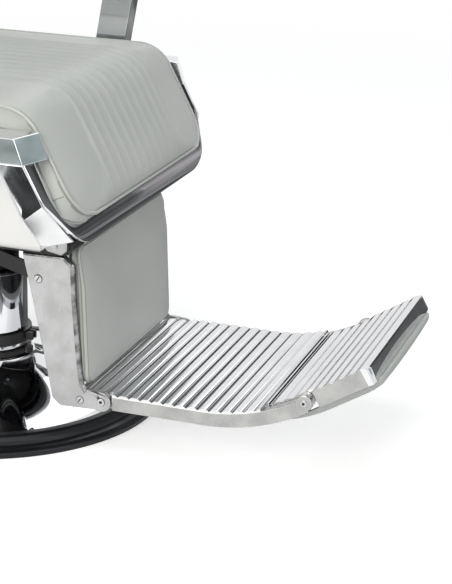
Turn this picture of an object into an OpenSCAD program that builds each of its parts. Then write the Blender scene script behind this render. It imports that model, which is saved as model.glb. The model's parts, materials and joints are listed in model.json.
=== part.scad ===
// Hydraulic barber chair. The origin is on the floor under the column, +Z is up,
// the chair faces -Y and the sitter's left is +X. Side outlines are drawn as
// [distance forward of the column, height] and pulled out along X.

/* [Base] */
// Radius of the whole base
base_r = 300; // [280:5:340]
// Width of the rubber edge ring
ring_w = 50; // [35:1:70]
// Height of the rubber edge ring
ring_h = 27; // [22:1:32]
// Thickness of the floor plate
plate_t = 10; // [6:1:14]
// Height of the top of the trumpet cover
cover_h = 82; // [74:1:84]
// Sheet thickness of the trumpet cover
cover_t = 2; // [1:0.5:3]

/* [Column] */
// Outer radius of the column sleeve
sleeve_r = 60; // [52:1:64]
// Height of the top of the column sleeve
sleeve_h = 232; // [210:1:240]
// Radius of the ram
ram_r = 30; // [22:1:34]
// Travel of the lift
lift = 160; // [100:5:165]

/* [Seat] */
// Height of the flat of the seat at its welt
seat_z = 590; // [584:1:600]
// Play between the seat cushion and a side rail
seat_play = 3; // [1:0.5:12]
// How far forward the lower welt of the seat lies
seat_front = 289; // [286:1:293]
// How far back the seat cushion reaches
seat_back = 212; // [190:1:214]
// Angle of the front slope of the seat
slope = 61.6; // [58:0.2:64]
// Rise of the cushion over its welts
crown = 18; // [8:1:24]
// Number of sewn channels in the seat and in the back
channels = 10; // [6:2:14]
// Width of one channel
channel_w = 30; // [20:1:34]
// Thickness of the seat board
board_t = 15; // [10:1:18]
// Height of the top of the seat board
board_z = 470; // [464:1:474]

/* [Side frames] */
// Outer face of the side rails
side_w = 345; // [344:1:360]
// Width of a side rail
rail_w = 54; // [44:1:55]
// Height of the underside of the side rails
rail_z = 519; // [515:1:524]
// Height of a side rail
rail_h = 40; // [30:1:46]
// Thickness of a side plate
side_t = 8; // [5:1:12]
// Thickness of a white side panel
panel_t = 4; // [3:0.5:6]
// Height of the top of the arm frames
arm_z = 745; // [700:5:780]
// Thickness of an arm pad
arm_pad_t = 38; // [24:1:50]

/* [Footrest] */
// Half width over the footrest brackets and the footplate
foot_w = 195; // [185:1:205]
// Wall of a footrest bracket
bracket_t = 8; // [5:1:10]
// Thickness of the calf board
calf_board_t = 10; // [6:1:12]
// Thickness of the calf pad at its middle
calf_pad_t = 24; // [14:1:27]
// Distance between two ribs
rib_pitch = 19.5; // [14:0.5:26]
// Depth of the grooves between the ribs
rib_h = 4; // [2:0.5:5]
// Thickness of the footplate under its ribs
deck_t = 9; // [7:1:14]
// Length of the footplate along its ribbed face
deck_len = 252; // [240:1:253]
// Length of the toe flap along its ribbed face
flap_len = 186; // [150:1:220]
// Thickness of the toe flap
flap_t = 30; // [24:1:30]
// Thickness of the pad under the toe flap
flap_pad_t = 16; // [12:1:22]

/* [Back and headrest] */
// Overhang of the back on each side past the frame plates
back_over = 20; // [5:1:26]
// Length of the back cushion
back_len = 500; // [460:5:520]
// Lean of the back from upright
lean = 14; // [8:1:18]
// Thickness of the back cushion
back_pad_t = 75; // [50:1:85]
// Half width of the headrest
head_w = 130; // [100:5:150]
// Travel of the headrest
head_travel = 90; // [60:5:95]

/* [Hidden] */
$fn = 64;

// Clearances: a pin running in its bore, two bodies that pass, a soft solid on its seat
run = 0.05;
gap = 1;
soft = 0.3;

// Finishes
chrome = [0.82, 0.83, 0.85];
satin = [0.72, 0.72, 0.72];
black = [0.08, 0.08, 0.09];
white = [0.93, 0.93, 0.92];
sage = [0.68, 0.70, 0.67];
rubber = [0.05, 0.05, 0.06];
wood = [0.75, 0.6, 0.42];
iron = [0.2, 0.2, 0.21];

// Base and column
ring_in = base_r - ring_w;
plate_r = ring_in + 20;
collar_z = 95;
collar_h = 9;
collar_r = sleeve_r + 2.5;
sleeve_t = 3;
cap_h = 5;
pump_r = sleeve_r - sleeve_t - 5;
foot_flange_h = 12;

// Pump lever and swivel lock, both carried round the foot of the sleeve
lever_z = 116;
lever_y = sleeve_r + 24;
lever_len = 262;
lever_hw = 9;
pin_r = 5;
lock_z = 84;
lock_h = 10;
clamp_r = sleeve_r + 7;
plunger_y = sleeve_r + 46;
plunger_r = 6;
plunger_top = 92;
plunger_foot = plate_t + 16;
plunger_play = 5;
nose_gap = 0.6;
guide_top = plate_t + 28;

// Seat mount and under-frame, stacked from the ram up
ram_guide = 48;
ram_foot = sleeve_h - lift - ram_guide;
hub_z = sleeve_h + cap_h + 3;
hub_r = ram_r + 16;
floor_z = 352;
floor_t = 8;
mount_t = 10;
ram_top = floor_z - mount_t - 10;
floor_w = 165;
floor_l = 190;
beam_t = 10;
bar_h = 25;
bar_w = 40;
bar_z = 414;
bar_f = 150;
bar_r = -170;
bolt_ring = 85;
bolt_r = 6;

// Pivots, as [forward, height]
foot_pivot = [245, 368];
back_pivot = [-235, 498];
crank = [-67, -75];
heel_pivot = [287, 97];
pivot_r = 8;
link_r = 6;
lug_r = 14;

// Frame plates, links and back arms, as distances from the middle of the chair
frame_w = 242;
frame_t = 6;
back_arm_w = frame_w - frame_t - gap;
back_w = frame_w + back_over;
back_arm_t = 8;
link_w = 178;
link_t = 6;
link_h = 26;

// Seat outline: flat, bend, slope
bend_r = 67;
slope_dir = [cos(slope), -sin(slope)];
seat_low = 423;
slope_len = (seat_z - bend_r * (1 - cos(slope)) - seat_low) / sin(slope);
bend_f = seat_front - slope_len * cos(slope) - bend_r * sin(slope);
flat_len = bend_f + seat_back;
bend_len = bend_r * slope * PI / 180;
corner_r = 60;
belly = 8;
seat_w = side_w - rail_w - belly - seat_play;
lip_f = seat_front - 27;
lip_z = seat_low - 14;
knee_f = bend_f + 52;

// Band round the lower front of the seat, drawn from the front as two outlines [x, height]
band_front = seat_front - 4;
band_t = 5;
band_top = seat_low - 12;
band_foot = band_top - 31;
band_bend = band_foot + 16;
band_run = 0.5;
band_in = side_w - 42;
band_low = side_w - 33;
band_out = side_w - 10;

// Footplate surface: flat from the heel, then a bend up to the toe
deck_heel = heel_pivot.x + 19;
deck_z = 113;
deck_flat = 154;
deck_bend_r = 302;
deck_tilt = 32;
flap_s = deck_len + 5;
flap_pivot_s = 322.7;
flap_pivot_h = -12;
flap_lug_r = 13;
flange_t = 19;
flange_h = 28;
pad_over = 9;

// Back, drawn along its own axes: p up the back from its pivot, q behind it
back_foot = 100;
back_face = -20;
back_board_t = 15;
back_board_q = back_face + back_pad_t;
shell_d = 34;
shell_t = 4;
post_w = 36;
post_t = 10;
post_q = back_board_q + back_board_t + 10;
head_p = back_foot + back_len + 60;
head_len = 130;
head_t = 80;

// ---- Points and outlines ----

function unit(v) = v / norm(v);
function lerp(a, b, t) = a + (b - a) * t;
function arc(c, r, a0, a1, n) = [for (i = [0:n]) c + r * [cos(lerp(a0, a1, i / n)), sin(lerp(a0, a1, i / n))]];

// Corner c between the points p and n, rounded to the radius r
function corner(p, c, n, r) =
    let (
        a = unit(p - c),
        b = unit(n - c),
        half = acos(max(-1, min(1, a * b))) / 2,
        mid = c + unit(a + b) * r / sin(half),
        from = c + a * r / tan(half) - mid,
        to = c + b * r / tan(half) - mid,
        a0 = atan2(from.y, from.x),
        turn = atan2(from.x * to.y - from.y * to.x, from * to)
    )
    arc(mid, r, a0, a0 + turn, max(2, ceil(abs(turn) / 15)));

// Outline through points [x, y, radius]
function rounded(pts) = [
    for (i = [0:len(pts) - 1])
        let (
            n = len(pts),
            c = [pts[i].x, pts[i].y],
            before = pts[(i + n - 1) % n],
            after = pts[(i + 1) % n]
        )
        each pts[i].z > 0
            ? corner([before.x, before.y], c, [after.x, after.y], pts[i].z)
            : [c]
];

// Plan outline of a seat part: straight sides and oval front corners, from y = -front back to y = rear
function seat_plan(w, front, rear, rx, ry) = concat(
    [[w, rear]],
    [for (a = [0:10:90]) [w - rx + rx * cos(a), -(front - ry + ry * sin(a))]],
    [for (a = [90:-10:0]) [-(w - rx + rx * cos(a)), -(front - ry + ry * sin(a))]],
    [[-w, rear]]
);

// Side outline [forward, height] pulled out along X between x0 and x1
module across(x0, x1) {
    translate([max(x0, x1), 0, 0]) rotate([90, 0, -90]) linear_extrude(abs(x1 - x0)) children();
}

// Round bar along X at the point p = [forward, height]
module bar_x(p, r, x0, x1) {
    translate([min(x0, x1), -p.x, p.y]) rotate([0, 90, 0]) cylinder(r = r, h = abs(x1 - x0));
}

// Round ring or disc round Z
module ring_z(r_in, r_out, z0, z1) {
    difference() {
        translate([0, 0, z0]) cylinder(r = r_out, h = z1 - z0);
        if (r_in > 0) translate([0, 0, z0 - 1]) cylinder(r = r_in, h = z1 - z0 + 2);
    }
}

module both_sides() {
    children();
    mirror([1, 0, 0]) children();
}

// Closed skin through loops that all have the same number of points
module loft(loops) {
    n = len(loops[0]);
    m = len(loops);
    first = [for (k = [0:2]) [for (p = loops[0]) p[k]] * [for (p = loops[0]) 1] / n];
    last = [for (k = [0:2]) [for (p = loops[m - 1]) p[k]] * [for (p = loops[m - 1]) 1] / n];
    sides = [
        for (i = [0:m - 2], j = [0:n - 1])
            let (a = i * n + j, b = i * n + (j + 1) % n)
            each [[a, b, b + n], [a, b + n, a + n]]
    ];
    ends = [
        for (j = [0:n - 1])
            let (k = (j + 1) % n, top = (m - 1) * n)
            each [[n * m, k, j], [n * m + 1, top + j, top + k]]
    ];
    polyhedron(points = concat([for (l = loops) each l], [first, last]), faces = concat(sides, ends));
}

// ---- Cushions ----

// Places across a channelled cushion, as fractions of its half width, with the seams on the list
seams = channels / 2 * channel_w;
function channel_x(w) = concat(
    [-w, -w + 3, -w + 12, -(w + seams) / 2],
    [for (i = [0:channels * 3]) -seams + i * channel_w / 3],
    [(w + seams) / 2, w - 12, w - 3, w]
);
function plain_x(w, n) = [for (i = [0:n]) -w * cos(180 * i / n)];

// Height of a cushion over its welts at x: it swells from the edges and dips at each seam
function swell(x, w, rise, dip) =
    rise * pow(max(0, 1 - pow(abs(x) / w, 4)), 0.6)
    - (dip > 0 && abs(x) < seams + 1 && abs(x / channel_w - round(x / channel_w)) < 0.1 ? dip : 0);

// One cross-section: top [forward, height] and its outward normal, bottom, half width,
// places across, swell, seam dip and how far the sides belly out
function section(top, normal, bottom, w, xs, rise, dip, belly) = concat(
    [for (x = xs) let (p = top + normal * swell(x, w, rise, dip)) [x, -p.x, p.y]],
    [
        for (q = [[0.2, 0.9], [0.5, 1], [0.8, 0.6]])
            let (p = lerp(top, bottom, q.x))
            [w + belly * q.y, -p.x, p.y]
    ],
    [[w - 6, -bottom.x, bottom.y], [0, -bottom.x, bottom.y], [-w + 6, -bottom.x, bottom.y]],
    [
        for (q = [[0.8, 0.6], [0.5, 1], [0.2, 0.9]])
            let (p = lerp(top, bottom, q.x))
            [-w - belly * q.y, -p.x, p.y]
    ]
);

// Seat: point, normal angle and underside at u along its top outline
seat_len = flat_len + bend_len + slope_len;
function seat_angle(u) = u < flat_len ? 0 : min(slope, (u - flat_len) / bend_r * 180 / PI);
function seat_top(u) =
    u < flat_len
        ? [u - seat_back, seat_z]
        : let (a = seat_angle(u), rest = max(0, u - flat_len - bend_len))
          [bend_f + bend_r * sin(a), seat_z - bend_r * (1 - cos(a))] + rest * slope_dir;
function seat_under(u) =
    u < flat_len
        ? [u - seat_back, board_z + soft]
        : u < flat_len + bend_len
        ? lerp([bend_f, board_z + soft], [knee_f, board_z + soft], (u - flat_len) / bend_len)
        : lerp([knee_f, board_z + soft], [lip_f, lip_z + soft], (u - flat_len - bend_len) / slope_len);
function seat_half(u) =
    let (k = max(0, u - (seat_len - corner_r)) / corner_r)
    seat_w - corner_r * (1 - sqrt(max(0, 1 - k * k)));
seat_steps = concat(
    [for (k = [0, 0.03, 0.4, 0.75]) k * flat_len],
    [for (k = [0, 1 / 3, 2 / 3, 1]) flat_len + k * bend_len],
    [for (k = [0.5]) lerp(flat_len + bend_len, seat_len - corner_r, k)],
    [for (a = [0:15:90]) seat_len - corner_r * (1 - sin(a))]
);

// ---- Base ----

// Floor plate with a boss that guides the pump plunger
module base_plate() color(iron) difference() {
    union() {
        cylinder(r = plate_r, h = plate_t);
        translate([0, plunger_y, 0]) cylinder(r = plunger_r * 2, h = guide_top);
    }
    translate([0, plunger_y, plunger_foot - plunger_play]) cylinder(r = plunger_r + run, h = guide_top);
}

module base_ring() color(rubber) rotate_extrude() polygon([
    [plate_r + soft, 0], [base_r - 2, 0], [base_r, 2], [base_r, 8], [base_r - 10, plate_t + 2],
    [base_r - 25, plate_t + 3], [base_r - 27, ring_h - 8], [ring_in + 10, ring_h], [ring_in, ring_h],
    [ring_in, plate_t], [plate_r + soft, plate_t]
]);

// The trumpet falls steeply from its neck and flattens towards the ring
neck_r = sleeve_r + 12;
function trumpet(k) = [lerp(neck_r, ring_in, pow(k, 1.7)), lerp(cover_h, ring_h - 2, 1 - pow(1 - k, 2.2))];
trumpet_steps = [for (i = [0:12]) i / 12];
module base_cover() color(chrome) difference() {
    rotate_extrude() polygon(concat(
        [for (k = trumpet_steps) trumpet(k) - [soft, 0]],
        [[ring_in - soft, plate_t], [ring_in - soft - cover_t, plate_t]],
        [for (i = [len(trumpet_steps) - 1:-1:1]) trumpet(trumpet_steps[i]) - [cover_t + soft, cover_t]],
        [[neck_r - cover_t - soft, cover_h - 6], [neck_r - 8, cover_h - 6], [neck_r - 8, cover_h]]
    ));
    translate([0, plunger_y, plate_t]) cylinder(r = plunger_r + 8, h = cover_h);
}

module pump_body() color(iron) difference() {
    union() {
        translate([0, 0, plate_t]) cylinder(r = sleeve_r - sleeve_t - 0.5, h = foot_flange_h);
        translate([0, 0, plate_t]) cylinder(r = pump_r, h = sleeve_h - plate_t);
    }
    translate([0, 0, ram_foot - 4]) cylinder(r = ram_r + run, h = sleeve_h);
}

module column_sleeve() color(chrome) ring_z(sleeve_r - sleeve_t, sleeve_r, plate_t, sleeve_h);

module column_collar() color(chrome) rotate_extrude() polygon(rounded([
    [sleeve_r + 0.1, collar_z + 0.3, 0], [collar_r - 1, collar_z + 0.3, 1], [collar_r, collar_z + collar_h / 2, 1],
    [collar_r - 1, collar_z + collar_h, 1], [sleeve_r + 0.1, collar_z + collar_h, 0]
]));

module column_cap() color(chrome) ring_z(ram_r + 0.5, sleeve_r, sleeve_h, sleeve_h + cap_h);

// Cast bracket clamped round the sleeve: clamp ears in front, forked ears behind for the pump lever,
// and a boss that guides the plunger
ear_hw = lever_hw + gap;
bracket_z0 = collar_z + collar_h + 2;
bracket_z1 = bracket_z0 + 20;
module lever_bracket() color(black) difference() {
    union() {
        ring_z(sleeve_r + 0.1, clamp_r, bracket_z0, bracket_z1);
        for (x = [-9, 3]) translate([x, -clamp_r - 12, bracket_z0 + 3]) cube([6, 16, 14]);
        for (x = [-ear_hw - 6, ear_hw]) {
            translate([x, clamp_r - 4, bracket_z0]) cube([6, lever_y - clamp_r + 4, 20]);
            bar_x([-lever_y, lever_z], 10, x, x + 6);
        }
    }
    bar_x([-lever_y, lever_z], pin_r + run, -40, 40);
}

module lever_pin() color(chrome) bar_x([-lever_y, lever_z], pin_r, -ear_hw - 7, ear_hw + 7);

// Swivel lock: a ring under the collar with a nose in front and a foot arm behind on the sitter's left
lock_turn = 40;
module swivel_lock() color(black) difference() {
    union() {
        translate([0, 0, lock_z]) cylinder(r = clamp_r - 1, h = lock_h);
        translate([0, -clamp_r + 2, lock_z]) cylinder(r = 10, h = lock_h);
        rotate([0, 0, -lock_turn]) {
            translate([-7, clamp_r - 5, lock_z]) cube([14, 66, lock_h]);
            rotate([0, 0, 180]) across(-7, 7) polygon([
                [clamp_r + 60, lock_z], [clamp_r + 61, lock_z + lock_h], [clamp_r + 110, 72], [clamp_r + 190, 68],
                [clamp_r + 190, 60], [clamp_r + 106, 62]
            ]);
        }
    }
    translate([0, 0, lock_z - 1]) cylinder(r = sleeve_r + soft, h = lock_h + 2);
}

module lock_grip() color(rubber) rotate([0, 0, -lock_turn])
    translate([0, clamp_r + 190.3, 64]) rotate([-90, 0, 0]) cylinder(r = 9, h = 32);

// Lever drawn as [behind the column, height]: its nose presses the plunger, its tail carries the pedal
module pump_lever() color(black) rotate([0, 0, 180]) difference() {
    union() {
        across(-lever_hw, lever_hw) polygon(rounded([
            [lever_y, lever_z - 9, 0], [plunger_y - 4, plunger_top + nose_gap, 0],
            [plunger_y + 8, plunger_top + nose_gap, 0], [lever_y + 116, 64, 8],
            [lever_y + lever_len, 62, 0], [lever_y + lever_len, 71, 0], [lever_y + 118, 74, 12],
            [lever_y + 20, lever_z + 7, 14], [lever_y, lever_z + 9, 0]
        ]));
        bar_x([lever_y, lever_z], 9, -lever_hw, lever_hw);
    }
    bar_x([lever_y, lever_z], pin_r + run, -40, 40);
}

module pump_pedal_pad() color(rubber)
    translate([-30, lever_y + lever_len + 0.3, 60]) cube([60, 36, 13]);

module pump_plunger() color(chrome) translate([0, plunger_y, plunger_foot])
    cylinder(r = plunger_r, h = plunger_top - plunger_foot);

// ---- Lift and seat mount ----

module ram() color(chrome) translate([0, 0, ram_foot]) cylinder(r = ram_r, h = ram_top - ram_foot);

module seat_mount() color(black) difference() {
    union() {
        translate([0, 0, hub_z]) cylinder(r = hub_r, h = floor_z - hub_z);
        translate([0, 0, floor_z - mount_t]) cylinder(r = bolt_ring + 22, h = mount_t);
        for (a = [45:90:315]) rotate([0, 0, a]) translate([0, 5, 0]) rotate([90, 0, 0])
            linear_extrude(10) polygon([
                [hub_r - 4, hub_z + 30], [hub_r - 4, floor_z - mount_t], [bolt_ring - 16, floor_z - mount_t]
            ]);
    }
    translate([0, 0, hub_z - 1]) cylinder(r = ram_r + run, h = ram_top - hub_z + 1 + soft);
    for (a = [0:90:270]) rotate([0, 0, a]) translate([bolt_ring, 0, floor_z - mount_t - 1])
        cylinder(r = bolt_r + 0.5, h = mount_t + 2);
}

module mount_bolts() color(satin) for (a = [0:90:270]) rotate([0, 0, a]) translate([bolt_ring, 0, 0]) {
    translate([0, 0, floor_z - mount_t - 8]) cylinder(r = bolt_r * 1.6, h = 8, $fn = 6);
    translate([0, 0, floor_z - mount_t]) cylinder(r = bolt_r, h = mount_t + floor_t + 6);
}

module frame_floor() color(black) difference() {
    translate([-floor_w, -floor_l, floor_z]) cube([2 * floor_w, 2 * floor_l, floor_t]);
    for (a = [0:90:270]) rotate([0, 0, a]) translate([bolt_ring, 0, floor_z - 1])
        cylinder(r = bolt_r + 0.5, h = floor_t + 2);
}

module frame_beams() color(black) for (x = [-floor_w, floor_w - beam_t])
    translate([x, -floor_l, floor_z + floor_t]) cube([beam_t, 2 * floor_l, bar_z - floor_z - floor_t]);

module cross_bar(f) color(black)
    translate([-side_w + side_t, -f - bar_w / 2, bar_z]) cube([2 * (side_w - side_t), bar_w, bar_h]);

module front_cross_bar() cross_bar(bar_f);

module rear_cross_bar() cross_bar(bar_r);

// Plate inside each side: carries the seat board, both pivots and the cross bars
board_knee = knee_f - 12;
module left_frame_plate() color(black) difference() {
    union() {
        across(frame_w - frame_t, frame_w) polygon([
            [back_pivot.x - lug_r, floor_z], [foot_pivot.x - lug_r, floor_z], foot_pivot + [0, -lug_r],
            foot_pivot + [lug_r * 0.9, -2], [board_knee, board_z - board_t], [back_pivot.x + lug_r, board_z - board_t],
            back_pivot + [lug_r, 0], back_pivot - [lug_r, 0]
        ]);
        bar_x(foot_pivot, lug_r, foot_w + gap, frame_w);
        bar_x(back_pivot, lug_r, frame_w - frame_t, frame_w);
    }
    for (f = [bar_f, bar_r]) translate([0, -f - bar_w / 2, bar_z]) cube([side_w, bar_w, bar_h]);
    bar_x(foot_pivot, pivot_r + run, 0, side_w);
    bar_x(back_pivot, pivot_r + run, 0, side_w);
}

module right_frame_plate() mirror([1, 0, 0]) left_frame_plate();

// ---- Seat ----

module seat_board() color(wood) intersection() {
    across(-seat_w, seat_w) polygon([
        [-seat_back, board_z], [knee_f, board_z], [lip_f, lip_z], [lip_f - board_t, lip_z - 8],
        [board_knee, board_z - board_t], [-seat_back, board_z - board_t]
    ]);
    translate([0, 0, floor_z]) linear_extrude(seat_z - floor_z)
        polygon(seat_plan(seat_w - 8, lip_f - 1, seat_back, corner_r, corner_r * cos(slope)));
}

module seat_cushion() color(sage) loft([
    for (u = seat_steps)
        let (w = seat_half(u), a = seat_angle(u), k = u < 1 ? 0.3 : u > seat_len - 1 ? 0.15 : 1)
        section(seat_top(u), [sin(a), cos(a)], seat_under(u), w, channel_x(w), crown * k, 3 * k, belly * k)
]);

// The band leans back as it rises from the front and widens up to the side rails
band_end = band_front - band_run * (rail_z - band_bend);
module seat_band() color(chrome) intersection() {
    across(-side_w, side_w) polygon(rounded([
        [band_front, band_foot - 1, 0], [band_front, band_bend, 30], [band_end, rail_z - soft, 0],
        [band_end - band_t * 1.1, rail_z - soft, 0], [band_front - band_t, band_bend - 1, 26],
        [band_front - band_t, band_foot - 1, 0]
    ]));
    rotate([90, 0, 0]) linear_extrude(band_front + 1) difference() {
        polygon(rounded([
            [-band_out, rail_z, 0], [-band_low, band_foot, 100], [band_low, band_foot, 100], [band_out, rail_z, 0]
        ]));
        polygon(rounded([
            [-band_in, rail_z + 1, 0], [-band_in, band_top, 36], [band_in, band_top, 36], [band_in, rail_z + 1, 0]
        ]));
    }
}

// ---- Side frames, drawn on the sitter's left and mirrored ----

rail_f = 210;
rail_b = 240;
rail_nose = rail_f + rail_h * 0.35;

// The front end leans back as it rises and runs forward towards the seat
rail_skew = 18;
module left_rail() color(chrome) difference() {
    across(side_w - rail_w, side_w) polygon([
        [-rail_b, rail_z], [rail_nose + rail_w, rail_z], [rail_nose + rail_w, rail_z + rail_h], [-rail_b, rail_z + rail_h]
    ]);
    translate([side_w, -rail_nose, rail_z]) rotate([0, 0, rail_skew]) rotate([-atan(0.35 * cos(rail_skew)), 0, 0])
        translate([-120, -100, -40]) cube([200, 100, 140]);
}

module right_rail() mirror([1, 0, 0]) left_rail();

// Flat side plate. Ahead of the panel it draws in to the band, and below the crease a foot bends in
// to a strip that lies on the frame plate. Its edges are lists of [x, forward, height].
plate_edge = [[side_w, 184, rail_z], [side_w, 222, 434]];
band_edge = [[side_w - 4, 222, rail_z - 1], [side_w - 15, 248.5, 456]];
lip = [[side_w - 65, 276, 391], [side_w - 65, 224, 376]];
strip_t = 8;
strip_x = frame_w + soft + strip_t;
strip_edge = [[strip_x, 253, 381], [strip_x, 211, 370]];
module edge_bar(points, w, h) for (p = points) translate([p.x - w, -p.y, p.z - h]) cube([w, 0.4, h]);
module left_side_plate() color(satin) {
    across(side_w - side_t, side_w) polygon([
        [184, rail_z], [222, 434], [190, 404], [-rail_b, 404], [-rail_b, rail_z]
    ]);
    hull() {
        edge_bar(plate_edge, side_t, 0.4);
        edge_bar(band_edge, 5, 0.4);
    }
    hull() {
        edge_bar([plate_edge[1]], side_t, 0.4);
        edge_bar([band_edge[1]], 5, 0.4);
        edge_bar(lip, 5, 0.4);
    }
    hull() {
        edge_bar(lip, 5, 0.4);
        edge_bar(strip_edge, strip_t, 1.5);
    }
    across(frame_w + soft, strip_x) polygon([[253, 381], [211, 370], [220, 360], [243, 356], [253, 364]]);
}

// The sitter's right one is bored for the shaft of the recline lever
module right_side_plate() difference() {
    mirror([1, 0, 0]) left_side_plate();
    bar_x(lever_at, shaft_r + run, -side_w - 1, 0);
}

// White panel on the side plate, its lower edge rolled in
panel_z = 389;
panel_roll = 12;
module left_side_panel() color(white) intersection() {
    across(frame_w, side_w + panel_t + 1) polygon(rounded([
        [-rail_b - 6, rail_z - 2, 0], [182, rail_z - 2, 0], [222, 440, 0], [258, panel_z + 8, 10],
        [248, panel_z, 6], [-rail_b - 6, panel_z, 20]
    ]));
    translate([0, rail_b + 10, 0]) rotate([90, 0, 0]) linear_extrude(rail_b + 280) polygon(concat(
        [[side_w, rail_z], [side_w + panel_t, rail_z]],
        arc([side_w + panel_t - panel_roll, panel_z + panel_roll], panel_roll, 0, -90, 6),
        [[side_w - 24, panel_z], [side_w - 24, panel_z + panel_t]],
        arc([side_w + panel_t - panel_roll, panel_z + panel_roll], panel_roll - panel_t, -90, 0, 6)
    ));
}

module right_side_panel() difference() {
    mirror([1, 0, 0]) left_side_panel();
    bar_x(lever_at, shaft_r + 0.5, -side_w - panel_t - 1, 0);
}

screw_at = [232, 368.5];
module side_screws() color(chrome) both_sides() difference() {
    bar_x(screw_at, 5, strip_x, strip_x + 3);
    translate([strip_x + 2, -screw_at.x - 6, screw_at.y - 0.8]) cube([3, 12, 1.6]);
}

// Arm frame: two posts and a top bar in one casting
arm_in = side_w - 44;
module left_arm_frame() color(chrome) across(arm_in, arm_in + 34) difference() {
    polygon(rounded([
        [60, rail_z + rail_h, 0], [118, rail_z + rail_h, 0], [150, arm_z, 30], [-210, arm_z, 40],
        [-200, rail_z + rail_h, 0], [-140, rail_z + rail_h, 0], [-160, arm_z - 26, 20], [88, arm_z - 26, 20]
    ]));
}

module right_arm_frame() mirror([1, 0, 0]) left_arm_frame();

function bar_pad(f, x, w, rise) = [
    for (a = [0:12])
        let (t = 180 * a / 12)
        [x + w * cos(t), -f, arm_z + soft + 8 + (arm_pad_t - 8) * rise * pow(sin(t), 0.5)],
    [x - w + 3, -f, arm_z + soft],
    [x + w - 3, -f, arm_z + soft]
];
module left_arm_pad() color(sage) loft([
    for (s = [[-200, 0.6, 0.3], [-194, 0.85, 0.8], [-180, 1, 0.97], [-20, 1, 1], [130, 1, 0.97], [152, 0.85, 0.8],
              [158, 0.6, 0.3]])
        bar_pad(s.x, arm_in + 17, 34 * s.y, s.z)
]);

module right_arm_pad() mirror([1, 0, 0]) left_arm_pad();

module hinge_pins() color(chrome) both_sides() {
    bar_x(foot_pivot, pivot_r, foot_w - bracket_t - 15, frame_w);
    bar_x(back_pivot, pivot_r, back_arm_w - back_arm_t - 3, frame_w + 3);
}

// Recline lever on the sitter's right: its shaft runs in the side plate, its hub lies outside the white panel
lever_at = [-110, 462];
lever_x = side_w + panel_t + soft;
shaft_r = 7;
lever_out = 8;
module recline_lever() color(chrome) {
    bar_x(lever_at, shaft_r, -side_w + side_t + 4, -lever_x);
    bar_x(lever_at, 16, -lever_x, -lever_x - lever_out - 6);
    across(-lever_x - lever_out, -lever_x - lever_out - 6) polygon([
        lever_at + [0, 9], lever_at + [120, -1], lever_at + [120, -13], lever_at + [0, -9]
    ]);
}

module lever_knob() color(black) translate([-lever_x - lever_out - 3, -lever_at.x - 120.3, lever_at.y - 7])
    rotate([90, 0, 0]) cylinder(r = 10, h = 44);

// ---- Back ----

// Point [forward, height] at p up the back and q behind it
up_back = [-sin(lean), cos(lean)];
behind = [-cos(lean), -sin(lean)];
function back_at(p, q) = back_pivot + p * up_back + q * behind;
module on_back() {
    translate([0, -back_pivot.x, back_pivot.y]) rotate([-lean, 0, 0]) children();
}

arm_q = back_board_q + back_board_t;
module left_back_arm() color(black) difference() {
    union() {
        across(back_arm_w - back_arm_t, back_arm_w) {
            polygon([
                back_pivot + [lug_r, 0], back_pivot + crank + [link_r * 1.8, 0], back_pivot + crank - [link_r * 1.8, 0],
                back_pivot - [lug_r, 0]
            ]);
            polygon([
                back_at(-lug_r, 0), back_at(lug_r, -lug_r * 0.8), back_at(back_foot - 30, back_board_q - 10),
                back_at(back_foot - 10, arm_q), back_at(400, arm_q), back_at(400, arm_q + 24),
                back_at(back_foot - 30, arm_q + 24)
            ]);
        }
        bar_x(back_pivot, lug_r, back_arm_w - back_arm_t, back_arm_w);
        bar_x(back_pivot + crank, link_r * 2, back_arm_w - back_arm_t, back_arm_w);
    }
    bar_x(back_pivot, pivot_r + run, 0, side_w);
    bar_x(back_pivot + crank, link_r + run, 0, side_w);
}

module right_back_arm() mirror([1, 0, 0]) left_back_arm();

module link_rear_pins() color(chrome) both_sides()
    bar_x(back_pivot + crank, link_r, link_w - link_t - 3, back_arm_w);

module back_board() color(wood) on_back() translate([0, back_board_q + back_board_t, back_foot])
    rotate([90, 0, 0]) linear_extrude(back_board_t) polygon(rounded([
        [back_w - 6, 0, 20], [back_w - 6, back_len, 60], [-back_w + 6, back_len, 60], [-back_w + 6, 0, 20]
    ]));

// Dished white shell behind the board, open below for the arms and notched above for the headrest post
module back_shell() color(white) on_back() translate([0, arm_q + shell_d, back_foot])
    rotate([90, 0, 0]) difference() {
        linear_extrude(shell_d) polygon(rounded([
            [back_w - 4, 0, 0], [back_w - 4, back_len, 60], [-back_w + 4, back_len, 60], [-back_w + 4, 0, 0]
        ]));
        translate([0, 0, shell_t]) linear_extrude(shell_d) polygon(rounded([
            [back_w - 4 - shell_t, -1, 0], [back_w - 4 - shell_t, back_len - shell_t, 56],
            [-back_w + 4 + shell_t, back_len - shell_t, 56], [-back_w + 4 + shell_t, -1, 0]
        ]));
        translate([-post_w / 2 - 7, back_len - 20, shell_d - post_t - 16]) cube([post_w + 14, 40, shell_d]);
    }

back_steps = [
    [0, 0.86, 0.2], [8, 0.97, 0.8], [40, 1, 1], [150, 1, 1], [300, 1, 1], [430, 1, 1], [470, 0.95, 0.95],
    [490, 0.88, 0.7], [500, 0.78, 0.2]
];
module back_cushion() color(sage) loft([
    for (s = back_steps)
        let (w = (back_w - 6) * s.y, p = back_foot + s.x * back_len / 500)
        section(
            back_at(p, back_face + 20 * (1 - s.z)), -behind, back_at(p, back_board_q - soft),
            w, channel_x(w), crown * s.z, 3 * s.z, 6
        )
]);

// ---- Headrest ----

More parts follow.
